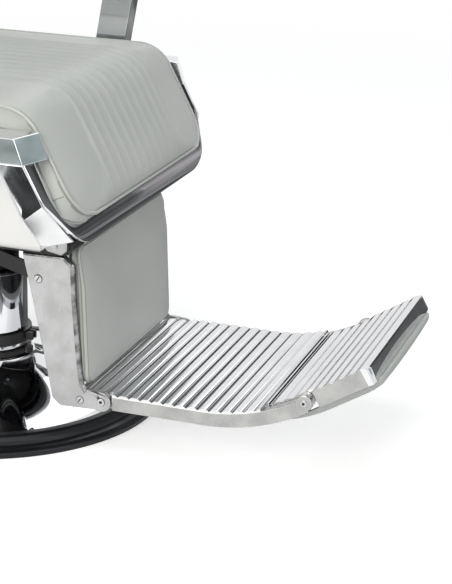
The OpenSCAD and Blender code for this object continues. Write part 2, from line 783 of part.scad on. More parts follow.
socket_len = 120;
socket_p = back_foot + back_len - socket_len - 2;
post_foot = socket_p + socket_len - head_travel - 20;
module headrest_socket() color(black) on_back() translate([0, post_q - post_t / 2 - 5, socket_p]) difference() {
    translate([-post_w / 2 - 6, 0, 0]) cube([post_w + 12, post_t + 10, socket_len]);
    translate([-post_w / 2 - 0.2, 4.8, -1]) cube([post_w + 0.4, post_t + 0.4, socket_len + 2]);
}

head_q = back_face + 18;
head_pivot = [head_p + head_len / 2, head_q + 52];
module headrest_post() color(chrome) difference() {
    across(-post_w / 2, post_w / 2) polygon([
        back_at(post_foot, post_q - post_t / 2),
        back_at(head_p + 20, post_q - post_t / 2), back_at(head_pivot.x - 12, head_pivot.y - 10),
        back_at(head_pivot.x + 12, head_pivot.y - 10), back_at(head_pivot.x + 12, head_pivot.y + 8),
        back_at(head_p + 30, post_q + post_t / 2), back_at(post_foot, post_q + post_t / 2)
    ]);
    bar_x(back_at(head_pivot.x, head_pivot.y), pin_r + run, -side_w, side_w);
}

module headrest_pin() color(chrome)
    bar_x(back_at(head_pivot.x, head_pivot.y), pin_r, -post_w / 2 - 12, post_w / 2 + 12);

module headrest_plate() color(black) difference() {
    union() {
        across(-head_w + 15, head_w - 15) polygon([
            back_at(head_p + 8, head_q + 30), back_at(head_p + 8, head_q + 36),
            back_at(head_p + head_len - 8, head_q + 36), back_at(head_p + head_len - 8, head_q + 30)
        ]);
        both_sides() across(post_w / 2 + gap, post_w / 2 + 9) polygon([
            back_at(head_pivot.x - 14, head_q + 35), back_at(head_pivot.x + 14, head_q + 35),
            back_at(head_pivot.x + 9, head_pivot.y + 9), back_at(head_pivot.x - 9, head_pivot.y + 9)
        ]);
    }
    bar_x(back_at(head_pivot.x, head_pivot.y), pin_r + run, -side_w, side_w);
}

head_steps = [
    [0, 0.8, 0.1], [5, 0.93, 0.6], [20, 1, 0.92], [65, 1, 1], [110, 1, 0.92], [125, 0.93, 0.6], [130, 0.8, 0.1]
];
module headrest_cushion() color(sage) loft([
    for (s = head_steps)
        let (p = head_p + s.x * head_len / 130, w = head_w * s.y)
        section(
            back_at(p, head_q + 30 - 8 - (head_t - 42) * s.z), -behind, back_at(p, head_q + 30 - soft),
            w, plain_x(w, 12), 12 * s.z, 0, 4
        )
]);

// ---- Footrest ----

// Board and pad lean back towards the top by this much for each unit of height
calf_lean = 0.044;
function lean_f(z) = calf_lean * (193 - z);

// Cast side bracket with a broad front edge, a return behind the board and a hinge arm inside it
heel_lug_r = 17;
arm_in_x = foot_w - bracket_t - 12;
module left_bracket() color(satin) difference() {
    union() {
        across(foot_w - bracket_t, foot_w) polygon(rounded([
            [150, 336, 0], [222, 337, 9], [239.5, 322, 10], [242, 265, 0], [247, 198, 0], [252, 144, 0],
            [256.5, 116, 8], foot3(heel_pivot + [0, heel_lug_r], 0), foot3(heel_pivot - [0, heel_lug_r - 3], 0),
            [215, 80, 12], [201, 92, 10], [189, 155, 0], [168, 256, 0]
        ]));
        bar_x(foot_pivot, lug_r - 1, arm_in_x, foot_w);
        bar_x(heel_pivot, heel_lug_r, foot_w - bracket_t, foot_w);
        across(arm_in_x, foot_w - bracket_t + 1) {
            polygon([[216, 322], [229.4, 322], [237.4, 140], [222, 140]]);
            polygon([
                [214, 305], [229.8, 305], [228.9, 340], [238, 356], foot_pivot, foot_pivot + [-lug_r + 1, 2],
                [216, 340]
            ]);
        }
    }
    bar_x(foot_pivot, pivot_r + run, 0, side_w);
    bar_x(heel_pivot, link_r + run, 0, side_w);
    bar_x(foot_pivot + crank, link_r + run, 0, side_w);
}
function foot3(p, r) = [p.x, p.y, r];

module right_bracket() mirror([1, 0, 0]) left_bracket();

// Slotted link screws, socket pivots at the heel and slotted stop screws, heads outside the brackets
stop_at = [250, 95];
module bracket_screws() color(chrome) both_sides() {
    difference() {
        bar_x(foot_pivot + crank, 7.5, foot_w + 0.1, foot_w + 2.6);
        translate([foot_w + 1.6, -(foot_pivot + crank).x - 9, (foot_pivot + crank).y - 0.9]) cube([4, 18, 1.8]);
    }
    bar_x(foot_pivot + crank, link_r, link_w - link_t - 3, foot_w + 1);
    difference() {
        bar_x(heel_pivot, 7, foot_w + 0.1, foot_w + 2.6);
        bar_x(heel_pivot, 3, foot_w + 1, foot_w + 5);
    }
    bar_x(heel_pivot, link_r, foot_w - bracket_t - 14, foot_w + 1);
    difference() {
        bar_x(stop_at, 7, foot_w + 0.1, foot_w + 2.6);
        translate([foot_w + 1.6, -stop_at.x - 9, stop_at.y - 0.9]) cube([4, 18, 1.8]);
    }
}

calf_f = 236;
calf_low = 120;
calf_top = 348;
calf_hw = foot_w - bracket_t - 0.3;
module calf_board() color(black) {
    z = [calf_low + 4, calf_top - 11];
    across(-calf_hw, calf_hw) polygon([
        [calf_f + lean_f(z[0]), z[0]], [calf_f + calf_board_t + lean_f(z[0]), z[0]],
        [calf_f + calf_board_t + lean_f(z[1]), z[1]], [calf_f + lean_f(z[1]), z[1]]
    ]);
}

calf_steps = [
    [0, 0.965, 0.15], [5, 0.99, 0.6], [20, 1, 0.9], [70, 1, 1], [150, 1, 1], [195, 1, 0.9], [211, 0.985, 0.6],
    [217, 0.95, 0.15]
];
module calf_pad() color(sage) loft([
    for (s = calf_steps)
        let (w = (calf_hw - 2) * s.y, z = calf_low + s.x * (calf_top - calf_low) / 217)
        section(
            [calf_f + calf_board_t + soft + 6 + (calf_pad_t - 12) * s.z + lean_f(z), z], [1, 0],
            [calf_f + calf_board_t + soft + lean_f(z), z], w, plain_x(w, 14), 6 * s.z, 0, 4
        )
]);

// Flat bars that keep the back and the footrest in step
module recline_links() color(black) both_sides() difference() {
    across(link_w - link_t, link_w) {
        polygon([
            foot_pivot + crank + [-3, link_h / 2], back_pivot + crank + [3, link_h / 2],
            back_pivot + crank - [3, link_h / 2], foot_pivot + crank - [3, link_h / 2]
        ]);
        for (p = [foot_pivot, back_pivot]) translate(p + crank) circle(r = link_h / 2);
    }
    bar_x(foot_pivot + crank, link_r + run, 0, side_w);
    bar_x(back_pivot + crank, link_r + 0.2, 0, side_w);
}

// Point at s along the footplate's ribbed face and h above it
function deck(s, h) =
    s < deck_flat
        ? [deck_heel + s, deck_z + h]
        : let (
              a = min((s - deck_flat) / deck_bend_r * 180 / PI, deck_tilt),
              rest = s - deck_flat - a * PI / 180 * deck_bend_r
          )
          [
              deck_heel + deck_flat + (deck_bend_r - h) * sin(a) + rest * cos(a),
              deck_z + deck_bend_r - (deck_bend_r - h) * cos(a) + rest * sin(a)
          ];
function rib(s) = -rib_h * (1 - pow(abs(cos(180 * s / rib_pitch)), 0.7));
rib_step = rib_pitch / 6;
function ribs(s0, s1) = [for (s = [s0:rib_step:s1]) deck(s, rib(s))];
function under(s0, s1, h) = [for (i = [0:16]) deck(lerp(s1, s0, i / 16), h)];
flap_pivot = deck(flap_pivot_s, flap_pivot_h);
lug_in = foot_w - flange_t;
heel_len = 3 * rib_pitch;
heel_hw = foot_w - bracket_t - gap;

module footplate() color(satin) difference() {
    union() {
        across(-foot_w, foot_w) polygon(concat(ribs(0, deck_len), under(0, deck_len, -deck_t - rib_h)));
        across(-heel_hw, heel_hw) polygon(concat(ribs(-heel_len, 1), under(-heel_len, 1, -deck_t - rib_h)));
        both_sides() {
            across(lug_in, foot_w) polygon(concat(
                [for (i = [0:16]) deck(lerp(0, flap_pivot_s, i / 16), -rib_h)],
                [deck(flap_pivot_s, -flange_h)], under(0, flap_pivot_s - 20, -flange_h)
            ));
            bar_x(flap_pivot, flap_lug_r, lug_in, foot_w);
            across(foot_w - bracket_t - 11, foot_w - bracket_t - 0.6) polygon([
                heel_pivot + [0, lug_r - 1], [deck_heel + 12, deck_z - 4], [deck_heel + 12, deck_z - flange_h],
                heel_pivot - [0, lug_r - 1]
            ]);
            bar_x(heel_pivot, lug_r - 1, foot_w - bracket_t - 11, foot_w - bracket_t - 0.6);
        }
    }
    both_sides() {
        bar_x(heel_pivot, link_r + run, lug_in - 20, foot_w);
        bar_x(flap_pivot, link_r + run, lug_in - 20, foot_w + 10);
    }
}

// Toe flap: narrow between the lugs, wider beyond them, with its own pivot studs
wide_s = flap_pivot_s + flap_lug_r + 4;
flap_end = flap_s + flap_len;
flap_hw = foot_w - 9;
module toe_flap() color(satin) {
    difference() {
        union() {
            across(-lug_in + 1.5, lug_in - 1.5) polygon(concat(
                ribs(flap_s, wide_s + 6), under(flap_s, wide_s + 6, -flap_t)
            ));
            across(-flap_hw, flap_hw) polygon(concat(
                [for (s = [wide_s:rib_step:flap_end - 5]) deck(s, rib(s))],
                [deck(flap_end, -6), deck(flap_end - 2, -flap_t)], under(wide_s, flap_end - 10, -flap_t)
            ));
        }
        bar_x(flap_pivot, flap_lug_r + 2, lug_in - 1.5, side_w);
        bar_x(flap_pivot, flap_lug_r + 2, -side_w, -lug_in + 1.5);
    }
    both_sides() {
        bar_x(flap_pivot, link_r, lug_in - 4, foot_w + 1);
        difference() {
            bar_x(flap_pivot, 6.5, foot_w + 0.1, foot_w + 2.6);
            bar_x(flap_pivot, 3, foot_w + 1, foot_w + 5);
        }
    }
}

flap_pad_steps = [
    [0, 0.93, 0.2], [5, 0.98, 0.7], [18, 1, 0.92], [31, 1, 0.96], [44, 1, 0.98], [57, 1, 1], [70, 1, 1],
    [120, 1, 1], [165, 1, 0.95], [182, 0.98, 0.75], [190, 0.93, 0.25]
];
module flap_pad() color(sage) loft([
    for (i = [len(flap_pad_steps) - 1:-1:0])
        let (
            k = flap_pad_steps[i],
            s = flap_s + 14 + k.x * (flap_len - 14 + pad_over) / 190,
            w = (lug_in - 8) * k.y,
            normal = unit(deck(s, 0) - deck(s, 10))
        )
        section(
            deck(s, -flap_t - soft - 4 - (flap_pad_t - 9) * k.z), normal, deck(s, -flap_t - soft),
            w, plain_x(w, 12), 5 * k.z, 0, 3
        )
]);

base_plate();
base_ring();
base_cover();
pump_body();
column_sleeve();
column_collar();
column_cap();
lever_bracket();
lever_pin();
swivel_lock();
lock_grip();
pump_lever();
pump_pedal_pad();
pump_plunger();
ram();
seat_mount();
mount_bolts();
frame_floor();
frame_beams();
front_cross_bar();
rear_cross_bar();
right_frame_plate();
left_frame_plate();
seat_board();
seat_cushion();
seat_band();
right_rail();
left_rail();
right_side_plate();
left_side_plate();
right_side_panel();
left_side_panel();
side_screws();
right_arm_frame();
left_arm_frame();
right_arm_pad();
left_arm_pad();
hinge_pins();
recline_lever();
lever_knob();
right_back_arm();
left_back_arm();
link_rear_pins();
back_board();
back_shell();
back_cushion();
headrest_socket();
headrest_post();
headrest_pin();
headrest_plate();
headrest_cushion();
right_bracket();
left_bracket();
bracket_screws();
calf_board();
calf_pad();
recline_links();
footplate();
toe_flap();
flap_pad();
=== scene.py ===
import json
import math

import bmesh
import bpy
from mathutils import Matrix, Vector, noise

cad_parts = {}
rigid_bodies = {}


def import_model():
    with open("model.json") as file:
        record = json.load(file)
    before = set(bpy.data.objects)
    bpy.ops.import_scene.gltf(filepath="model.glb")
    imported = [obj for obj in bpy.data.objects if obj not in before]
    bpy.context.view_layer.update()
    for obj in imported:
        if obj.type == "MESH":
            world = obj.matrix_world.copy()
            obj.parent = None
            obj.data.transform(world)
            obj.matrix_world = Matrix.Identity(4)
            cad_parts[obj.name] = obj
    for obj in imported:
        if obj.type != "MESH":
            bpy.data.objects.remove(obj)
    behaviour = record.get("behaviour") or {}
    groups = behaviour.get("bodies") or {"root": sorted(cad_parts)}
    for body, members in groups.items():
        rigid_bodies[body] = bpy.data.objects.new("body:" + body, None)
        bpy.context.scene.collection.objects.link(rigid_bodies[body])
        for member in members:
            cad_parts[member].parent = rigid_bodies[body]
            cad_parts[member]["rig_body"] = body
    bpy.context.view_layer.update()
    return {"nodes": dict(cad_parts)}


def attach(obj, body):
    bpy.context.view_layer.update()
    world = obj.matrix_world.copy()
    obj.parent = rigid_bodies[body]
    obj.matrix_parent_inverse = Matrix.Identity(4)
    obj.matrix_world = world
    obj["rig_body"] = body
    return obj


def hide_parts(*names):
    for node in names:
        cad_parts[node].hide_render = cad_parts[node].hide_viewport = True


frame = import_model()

scene = bpy.context.scene
nodes = frame["nodes"]


def put(name, data):
    made = bpy.data.objects.new(name, data)
    scene.collection.objects.link(made)
    return made


def meshOf(bm, name):
    mesh = bpy.data.meshes.new(name)
    bm.to_mesh(mesh)
    bm.free()
    return mesh


def evaluatedMesh(piece):
    return bpy.data.meshes.new_from_object(piece.evaluated_get(bpy.context.evaluated_depsgraph_get()))


def lerp(a, b, t):
    return a + (b - a) * t


def smoothStep(low, high, value):
    t = min(1, max(0, (value - low) / (high - low)))
    return t * t * (3 - 2 * t)


# Camera, floor and light

cameraView = {"place": (-2.57804, -1.29128, 1.17559), "yaw": 71.522, "pitch": 18.931, "roll": 1.601, "lens": 106.37,
              "clip": (0.05, 60)}


def aimCamera(view):
    yaw, pitch, roll = (math.radians(view[k]) for k in ("yaw", "pitch", "roll"))
    look = Vector((math.sin(yaw) * math.cos(pitch), math.cos(yaw) * math.cos(pitch), -math.sin(pitch)))
    level = Vector((math.cos(yaw), -math.sin(yaw), 0))
    right = level * math.cos(roll) + level.cross(look) * math.sin(roll)
    data = bpy.data.cameras.new("chairCamera")
    data.lens = view["lens"]
    data.clip_start, data.clip_end = view["clip"]
    scene.camera = put("chairCamera", data)
    turn = Matrix((right, right.cross(look), -look)).transposed().to_4x4()
    scene.camera.matrix_world = Matrix.Translation(view["place"]) @ turn


aimCamera(cameraView)


def shaderTree(owner):
    owner.use_nodes = True
    owner.node_tree.nodes.clear()
    return owner.node_tree


def feed(tree, socket, value):  # value is a number, a colour, a socket, or a node whose first output counts
    if isinstance(value, bpy.types.Node):
        value = value.outputs[0]
    if isinstance(value, bpy.types.NodeSocket):
        tree.links.new(value, socket)
    else:
        socket.default_value = value


def node(tree, kind, *inputs, **values):  # inputs in their order, then settings and inputs by name
    made = tree.nodes.new("ShaderNode" + kind)
    for key, value in values.items():
        if hasattr(made, key):
            setattr(made, key, value)
        else:
            feed(tree, made.inputs[key.replace("_", " ")], value)
    for socket, value in zip(made.inputs, inputs):
        feed(tree, socket, value)
    return made


def maths(tree, operation, a, b=0.0):
    return node(tree, "Math", a, b, operation=operation).outputs[0]


def mapRange(tree, value, low, high, outLow=0.0, outHigh=1.0, smooth=False):
    kind = "SMOOTHSTEP" if smooth else "LINEAR"
    return node(tree, "MapRange", value, low, high, outLow, outHigh, interpolation_type=kind).outputs["Result"]


def ease(tree, value, low, high, outLow=0.0, outHigh=1.0):
    return mapRange(tree, value, low, high, outLow, outHigh, True)


def ownPlace(tree):
    return node(tree, "TexCoord").outputs["Object"]


def markOf(tree, name):
    return node(tree, "Attribute", attribute_name=name).outputs["Fac"]


def noiseOf(tree, vector, scale, detail=3.0):
    return node(tree, "TexNoise", Vector=vector, Scale=scale, Detail=detail).outputs["Fac"]


def seenByMirrors(tree):  # 1 for camera, glossy and transmission rays
    path = node(tree, "LightPath").outputs
    first = maths(tree, "MAXIMUM", path["Is Camera Ray"], path["Is Glossy Ray"])
    return maths(tree, "MAXIMUM", first, path["Is Transmission Ray"])


studio = {"background": (1, 1, 1, 1), "ambient": (0.96, 0.98, 1.0, 1), "ambientStrength": 0.46}


def makeWorld(values):
    scene.world = bpy.data.worlds.new("studioWorld")
    tree = shaderTree(scene.world)
    soft = node(tree, "Background", Color=values["ambient"], Strength=values["ambientStrength"])
    white = node(tree, "Background", Color=values["background"], Strength=1.0)
    node(tree, "OutputWorld", node(tree, "MixShader", seenByMirrors(tree), soft, white))


makeWorld(studio)

floorLook = {"colour": (0.72, 0.72, 0.72, 1), "lift": 0.52, "fade": (1.6, 4.2), "size": 16.0, "drop": 0.0004}


def makeFloor(values):
    bm = bmesh.new()
    bmesh.ops.create_grid(bm, x_segments=1, y_segments=1, size=values["size"])
    bmesh.ops.translate(bm, verts=bm.verts, vec=(0, 0, -values["drop"]))
    floor = put("studioFloor", meshOf(bm, "studioFloor"))
    material = bpy.data.materials.new("paleFloor")
    tree = shaderTree(material)
    matt = node(tree, "BsdfDiffuse", Color=values["colour"])
    glow = node(tree, "Emission", Color=studio["background"], Strength=values["lift"])
    white = node(tree, "Emission", Color=studio["background"], Strength=1.0)
    length = node(tree, "VectorMath", ownPlace(tree), operation="LENGTH").outputs["Value"]
    fade = ease(tree, length, *values["fade"])  # far from the object the floor runs into the background
    faded = node(tree, "MixShader", fade, node(tree, "AddShader", matt, glow), white)
    node(tree, "OutputMaterial", node(tree, "MixShader", seenByMirrors(tree), matt, faded))
    floor.data.materials.append(material)


makeFloor(floorLook)

lamps = {  # place, aim, size, watts, tint
    "topLamp": ((-0.9, -0.4, 3.3), (-0.1, -0.1, 0.5), (2.2, 2.2), 37, (1, 1, 1)),
    "sideLamp": ((-2.9, 0.1, 1.5), (0, -0.1, 0.45), (1.8, 1.4), 46, (1, 0.97, 0.9)),
    "frontLamp": ((-1.2, -3.4, 2.0), (0, -0.2, 0.4), (1.8, 1.4), 27, (1, 1, 1)),
    "farLamp": ((2.8, 0.6, 2.4), (0, -0.1, 0.5), (1.6, 1.6), 8, (0.95, 0.97, 1)),
}
for lampName, (spot, aim, size, watts, tint) in lamps.items():
    light = bpy.data.lights.new(lampName, "AREA")
    light.shape = "RECTANGLE"
    light.size, light.size_y = size
    light.energy, light.color = watts, tint
    lamp = put(lampName, light)
    lamp.location = spot
    lamp.rotation_euler = (Vector(spot) - Vector(aim)).to_track_quat("Z", "Y").to_euler()

# dim boards round the set and on its floor: only the metal sees them, so that chrome reads as chrome
boards = {  # centre, facing, size, least and most tone, scale of the blotches, tint
    "farWall": ((3.0, -1.9, 0.46), (1, 0, 0), (1.32, 3.6), (0.04, 0.2), 1.7, (0.97, 0.99, 1)),
    "ribWall": ((2.98, -0.67, 2.14), (1, 0, 0), (1.14, 0.72), (0.03, 0.3), 2.4, (0.97, 0.99, 1)),
    "farGlow": ((2.97, -1.45, 0.42), (1, 0, 0), (0.6, 0.76), (0.22, 0.46), 3.0, (1, 0.96, 0.98)),
    "farMat": ((0.92, -0.3, 0.002), (0, 0, 1), (1.4, 3.4), (0.02, 0.14), 2.6, (0.97, 0.99, 1)),
    "furtherMat": ((2.31, -0.6, 0.002), (0, 0, 1), (1.38, 4.0), (0.12, 0.36), 3.4, (0.97, 0.99, 1)),
    "nearStrip": ((-3.4, -0.2, 0.002), (0, 0, 1), (3.0, 1.64), (0.015, 0.09), 3.0, (0.97, 0.99, 1)),
    "nearMat": ((-2.5, 1.23, 0.002), (0, 0, 1), (1.6, 1.2), (0.3, 0.58), 6.0, (0.88, 1, 0.96)),
    "rearMat": ((0.1, 2.6, 0.002), (0, 0, 1), (2.6, 1.2), (0.03, 0.4), 3.0, (0.97, 0.99, 1)),
    "frontBoard": ((1.06, -2.83, 1.14), (-0.46, 0.87, -0.2), (0.9, 0.9), (0.32, 0.6), 4.0, (0.84, 1, 1)),
}


def makeBoard(name, centre, facing, size, tones, blotch, tint):
    bm = bmesh.new()
    bmesh.ops.create_grid(bm, x_segments=1, y_segments=1, size=0.5)
    bmesh.ops.scale(bm, verts=bm.verts, vec=(*size, 1))
    turn = Vector(facing).to_track_quat("Z", "Y").to_matrix().to_4x4()
    bmesh.ops.transform(bm, verts=bm.verts, matrix=Matrix.Translation(centre) @ turn)
    material = bpy.data.materials.new(name)
    tree = shaderTree(material)
    tone = mapRange(tree, noiseOf(tree, ownPlace(tree), blotch), 0.36, 0.64, *tones)
    node(tree, "OutputMaterial", node(tree, "Emission", Color=(*tint, 1), Strength=tone))
    board = put(name, meshOf(bm, name))
    board.data.materials.append(material)
    board.visible_camera = board.visible_diffuse = board.visible_shadow = False


for boardName, values in boards.items():
    makeBoard(boardName, *values)
scene.view_settings.view_transform = "Standard"
print("camera, floor and light are set")


# Effects that several finishes share: each takes its inputs and gives its outputs by name

def driftEffect(tree, inside):  # slow change of tone and a finer change of gloss
    where = ownPlace(tree)
    slow = noiseOf(tree, where, inside["Slow Scale"], 2.0)
    fine = noiseOf(tree, where, inside["Fine Scale"], 4.0)
    smudge = ease(tree, noiseOf(tree, where, 19.0, 5.0), 0.35, 0.65)
    both = maths(tree, "MULTIPLY", smudge, mapRange(tree, fine, 0.2, 0.8, 0.5, 1.0))
    rough = mapRange(tree, both, 0.0, 1.0, inside["Low Rough"], inside["High Rough"])
    return {"Tone": ease(tree, slow, 0.3, 0.7), "Roughness": rough, "Height": fine}


def brushedEffect(tree, inside):  # fine lines drawn out along one axis
    where = ownPlace(tree)
    stretch = node(tree, "VectorMath", where, inside["Line Scale"], operation="MULTIPLY")
    lines = noiseOf(tree, stretch.outputs[0], 1.0)
    cloud = noiseOf(tree, where, 26.0)
    mixed = maths(tree, "ADD", maths(tree, "MULTIPLY", lines, 0.7), maths(tree, "MULTIPLY", cloud, 0.3))
    rough = mapRange(tree, mixed, 0.3, 0.7, inside["Low Rough"], inside["High Rough"])
    return {"Tone": ease(tree, cloud, 0.3, 0.7), "Roughness": rough, "Height": lines}


def hideEffect(tree, inside):  # pebbled grain of a soft covering
    where = ownPlace(tree)
    cells = node(tree, "TexVoronoi", feature="SMOOTH_F1", Vector=where, Scale=inside["Pebble Scale"])
    pebbles = cells.outputs["Distance"]
    creases = maths(tree, "MULTIPLY", noiseOf(tree, where, 75.0, 5.0), 0.7)
    height = maths(tree, "ADD", maths(tree, "MULTIPLY", pebbles, 0.6), creases)
    return {"Tone": ease(tree, noiseOf(tree, where, 5.0, 2.0), 0.3, 0.7), "Height": height}


def edgeEffect(tree, inside):  # worn, polished edges from the face mark that the bevels leave; where the edge tone is darker than the bright tone, as on the satin castings, it is a painted dark reflection along the rims
    patchy = mapRange(tree, noiseOf(tree, ownPlace(tree), 60.0, 4.0), 0.35, 0.6, 0.25, 1.0)
    edgeWearAndShade = maths(tree, "MULTIPLY", markOf(tree, "edgeNear"), patchy)
    return {"Mask": maths(tree, "MULTIPLY", edgeWearAndShade, inside["Amount"])}


def seamEffect(tree, inside):  # the drawn-in line of a seam, painted dark: painted shade in the seam's crease
    seamShadeLine = ease(tree, markOf(tree, "seamNear"), 0.70, 0.95)
    for crossing in ("seamStrip", "seamCross"):  # each is 1 on its line
        off = maths(tree, "ABSOLUTE", maths(tree, "SUBTRACT", markOf(tree, crossing), 1.0))
        seamShadeLine = maths(tree, "MAXIMUM", seamShadeLine, ease(tree, off, inside["Core"], inside["Reach"], 1.0, 0.0))
    return {"Line": seamShadeLine}


def effectGroup(name, build, inputs):
    group = bpy.data.node_groups.new(name, "ShaderNodeTree")
    for label, value in inputs.items():
        kind = "NodeSocketVector" if isinstance(value, tuple) else "NodeSocketFloat"
        group.interface.new_socket(label, in_out="INPUT", socket_type=kind).default_value = value
    made = build(group, group.nodes.new("NodeGroupInput").outputs)
    for label in made:
        group.interface.new_socket(label, in_out="OUTPUT", socket_type="NodeSocketFloat")
    out = group.nodes.new("NodeGroupOutput")
    for label, value in made.items():
        feed(group, out.inputs[label], value)
    return group


effects = {
    "drift": effectGroup("surfaceDrift", driftEffect,
                         {"Slow Scale": 6.0, "Fine Scale": 220.0, "Low Rough": 0.2, "High Rough": 0.3}),
    "brushed": effectGroup("brushedLines", brushedEffect,
                           {"Line Scale": (40.0, 900.0, 900.0), "Low Rough": 0.2, "High Rough": 0.4}),
    "hide": effectGroup("hideGrain", hideEffect, {"Pebble Scale": 900.0}),
    "edges": effectGroup("edgeWear", edgeEffect, {"Amount": 1.0}),
    "seams": effectGroup("seamLines", seamEffect, {"Core": 0.05, "Reach": 0.11}),
}


def effect(tree, which, **values):
    return node(tree, "Group", node_tree=effects[which], **values).outputs


def blendColours(tree, factor, first, second):
    made = node(tree, "Mix", data_type="RGBA")
    for k, value in ((0, factor), (6, first), (7, second)):  # the sockets of a colour mix
        feed(tree, made.inputs[k], (*value, 1) if isinstance(value, tuple) else value)
    return made.outputs[2]


def makeFinish(material, colour, rough, height, grain, **constants):
    tree = material.node_tree
    shader = node(tree, "BsdfPrincipled", Base_Color=colour, Roughness=rough, **constants)
    if grain:
        feed(tree, shader.inputs["Normal"], node(tree, "Bump", Strength=1.0, Distance=grain, Height=height))
    node(tree, "OutputMaterial", shader)
    return material


def surface(name, dark, light, rough, lines=None, slow=6.0, fine=300.0, grain=0.0, wear=0.0, edgeWearAndShade=(0.3, 0.3, 0.3),
            **more):
    material = bpy.data.materials.new(name)
    tree = shaderTree(material)
    ends = {"Low_Rough": rough[0], "High_Rough": rough[1]}
    if lines:
        made = effect(tree, "brushed", Line_Scale=lines, **ends)
    else:
        made = effect(tree, "drift", Slow_Scale=slow, Fine_Scale=fine, **ends)
    colour = blendColours(tree, made["Tone"], dark, light)
    colour = blendColours(tree, effect(tree, "edges", Amount=wear)["Mask"], colour, edgeWearAndShade)
    return makeFinish(material, colour, made["Roughness"], made["Height"], grain, **more)


# edge scales the bright tone for the marked edges: above 1 a worn, polished edge, below 1 a painted dark reflection
# along them
def metal(name, dull, bright, rough, edge=1.08, **more):
    values = {"slow": 5.0, "fine": 260.0, "wear": 0.3, "Metallic": 1.0, **more}
    return surface(name, dull, bright, rough, edgeWearAndShade=tuple(min(1.0, c * edge) for c in bright), **values)


def coveringFinish(name, shades, seamShadeColour, rough, grain):
    material = bpy.data.materials.new(name)
    tree = shaderTree(material)
    hide, seamShadeLine = effect(tree, "hide", Pebble_Scale=850.0), effect(tree, "seams", Core=0.05, Reach=0.11)["Line"]
    colour = blendColours(tree, hide["Tone"], shades[0], shades[1])
    # the seam lines are painted dark: painted shade in the seams' creases
    colour = blendColours(tree, mapRange(tree, seamShadeLine, 0, 1, 0, 0.85), colour, seamShadeColour)
    colour = blendColours(tree, mapRange(tree, seamShadeLine, 0, 1, 0, 0.15), colour, shades[2])  # a little of the thread
    height = maths(tree, "SUBTRACT", hide["Height"], maths(tree, "MULTIPLY", seamShadeLine, 1.6))
    return makeFinish(material, colour, mapRange(tree, hide["Height"], 0.1, 0.9, *rough), height, grain,
                      Sheen_Weight=0.12, Sheen_Roughness=0.45, Specular_IOR_Level=0.42)


def plyFinish(name, pale, dark, rough, stretch, grain):
    material = bpy.data.materials.new(name)
    tree = shaderTree(material)
    figure = noiseOf(tree, node(tree, "VectorMath", ownPlace(tree), stretch, operation="MULTIPLY").outputs[0], 1.0, 5.0)
    colour = blendColours(tree, mapRange(tree, figure, 0.3, 0.7), pale, dark)
    return makeFinish(material, colour, mapRange(tree, figure, 0.2, 0.8, *rough), figure, grain)


finishes = {
    "chrome": metal("mirrorChrome", (0.70, 0.71, 0.73), (0.78, 0.79, 0.81), (0.03, 0.09)),
    # satin castings: edge 0.22 at full strength paints their eased rims dark, a painted dark reflection
    "satin": metal("satinCasting", (0.40, 0.40, 0.40), (0.50, 0.50, 0.505), (0.24, 0.38), edge=0.22,
                   grain=0.00004, lines=(300.0, 300.0, 28.0), wear=1.0),
    "polished": metal("polishedCasting", (0.70, 0.705, 0.72), (0.75, 0.755, 0.77), (0.06, 0.13),
                      grain=0.000006, lines=(14.0, 420.0, 420.0), wear=0.5),
    "foot": metal("brushedChrome", (0.74, 0.75, 0.755), (0.82, 0.825, 0.83), (0.36, 0.48),
                  grain=0.00002, lines=(40.0, 400.0, 400.0)),
    "flange": metal("brushedFlange", (0.36, 0.36, 0.355), (0.46, 0.46, 0.45), (0.22, 0.36),
                    grain=0.00003, lines=(300.0, 24.0, 300.0), wear=0.8),
    "zinc": metal("platedScrew", (0.45, 0.45, 0.46), (0.60, 0.60, 0.61), (0.2, 0.34), slow=40.0),
    "black": surface("blackPaint", (0.010, 0.010, 0.011), (0.018, 0.018, 0.020), (0.26, 0.42), grain=0.00005,
                     wear=0.15, edgeWearAndShade=(0.10, 0.10, 0.10), Specular_IOR_Level=0.4),
    "iron": surface("castIron", (0.02, 0.021, 0.023), (0.035, 0.035, 0.038), (0.5, 0.7), fine=420.0, grain=0.0003),
    "rubber": surface("edgeRubber", (0.006, 0.007, 0.009), (0.012, 0.013, 0.016), (0.30, 0.46), fine=500.0,
                      grain=0.00006, wear=0.12, edgeWearAndShade=(0.03, 0.03, 0.033), Specular_IOR_Level=0.3),
    "white": surface("glossWhite", (0.66, 0.665, 0.67), (0.69, 0.69, 0.69), (0.09, 0.16), fine=90.0,
                     grain=0.00002, Coat_Weight=0.6, Coat_Roughness=0.06),
    "knob": surface("mattKnob", (0.02, 0.02, 0.02), (0.03, 0.03, 0.03), (0.45, 0.6), fine=700.0, grain=0.0001),
    # the lone dark colour is the painted shade drawn into the seam lines
    "covering": coveringFinish("sageCovering", ((0.405, 0.422, 0.402), (0.445, 0.462, 0.438), (0.52, 0.53, 0.50)),
                               (0.15, 0.155, 0.135), (0.36, 0.50), 0.00022),
    "ply": plyFinish("stainedPly", (0.045, 0.038, 0.032), (0.02, 0.017, 0.014), (0.5, 0.75), (8.0, 90.0, 320.0),
                     0.0002),
}
print("finishes:", len(finishes))


# Making pieces

def at(x, forward, height):  # millimetres across, forward of the column and up
    return Vector((x, -forward, height)) * 0.001


def bake(piece):  # its modifiers become its mesh
    old, name = piece.data, piece.data.name
    piece.data = evaluatedMesh(piece)
    piece.modifiers.clear()
    bpy.data.meshes.remove(old)
    piece.data.name = name


def place(piece, body, finish, replaced=None):
    piece.data.materials.clear()
    piece.data.materials.append(finishes[finish])
    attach(piece, body)
    if replaced:
        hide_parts(replaced)
    return piece


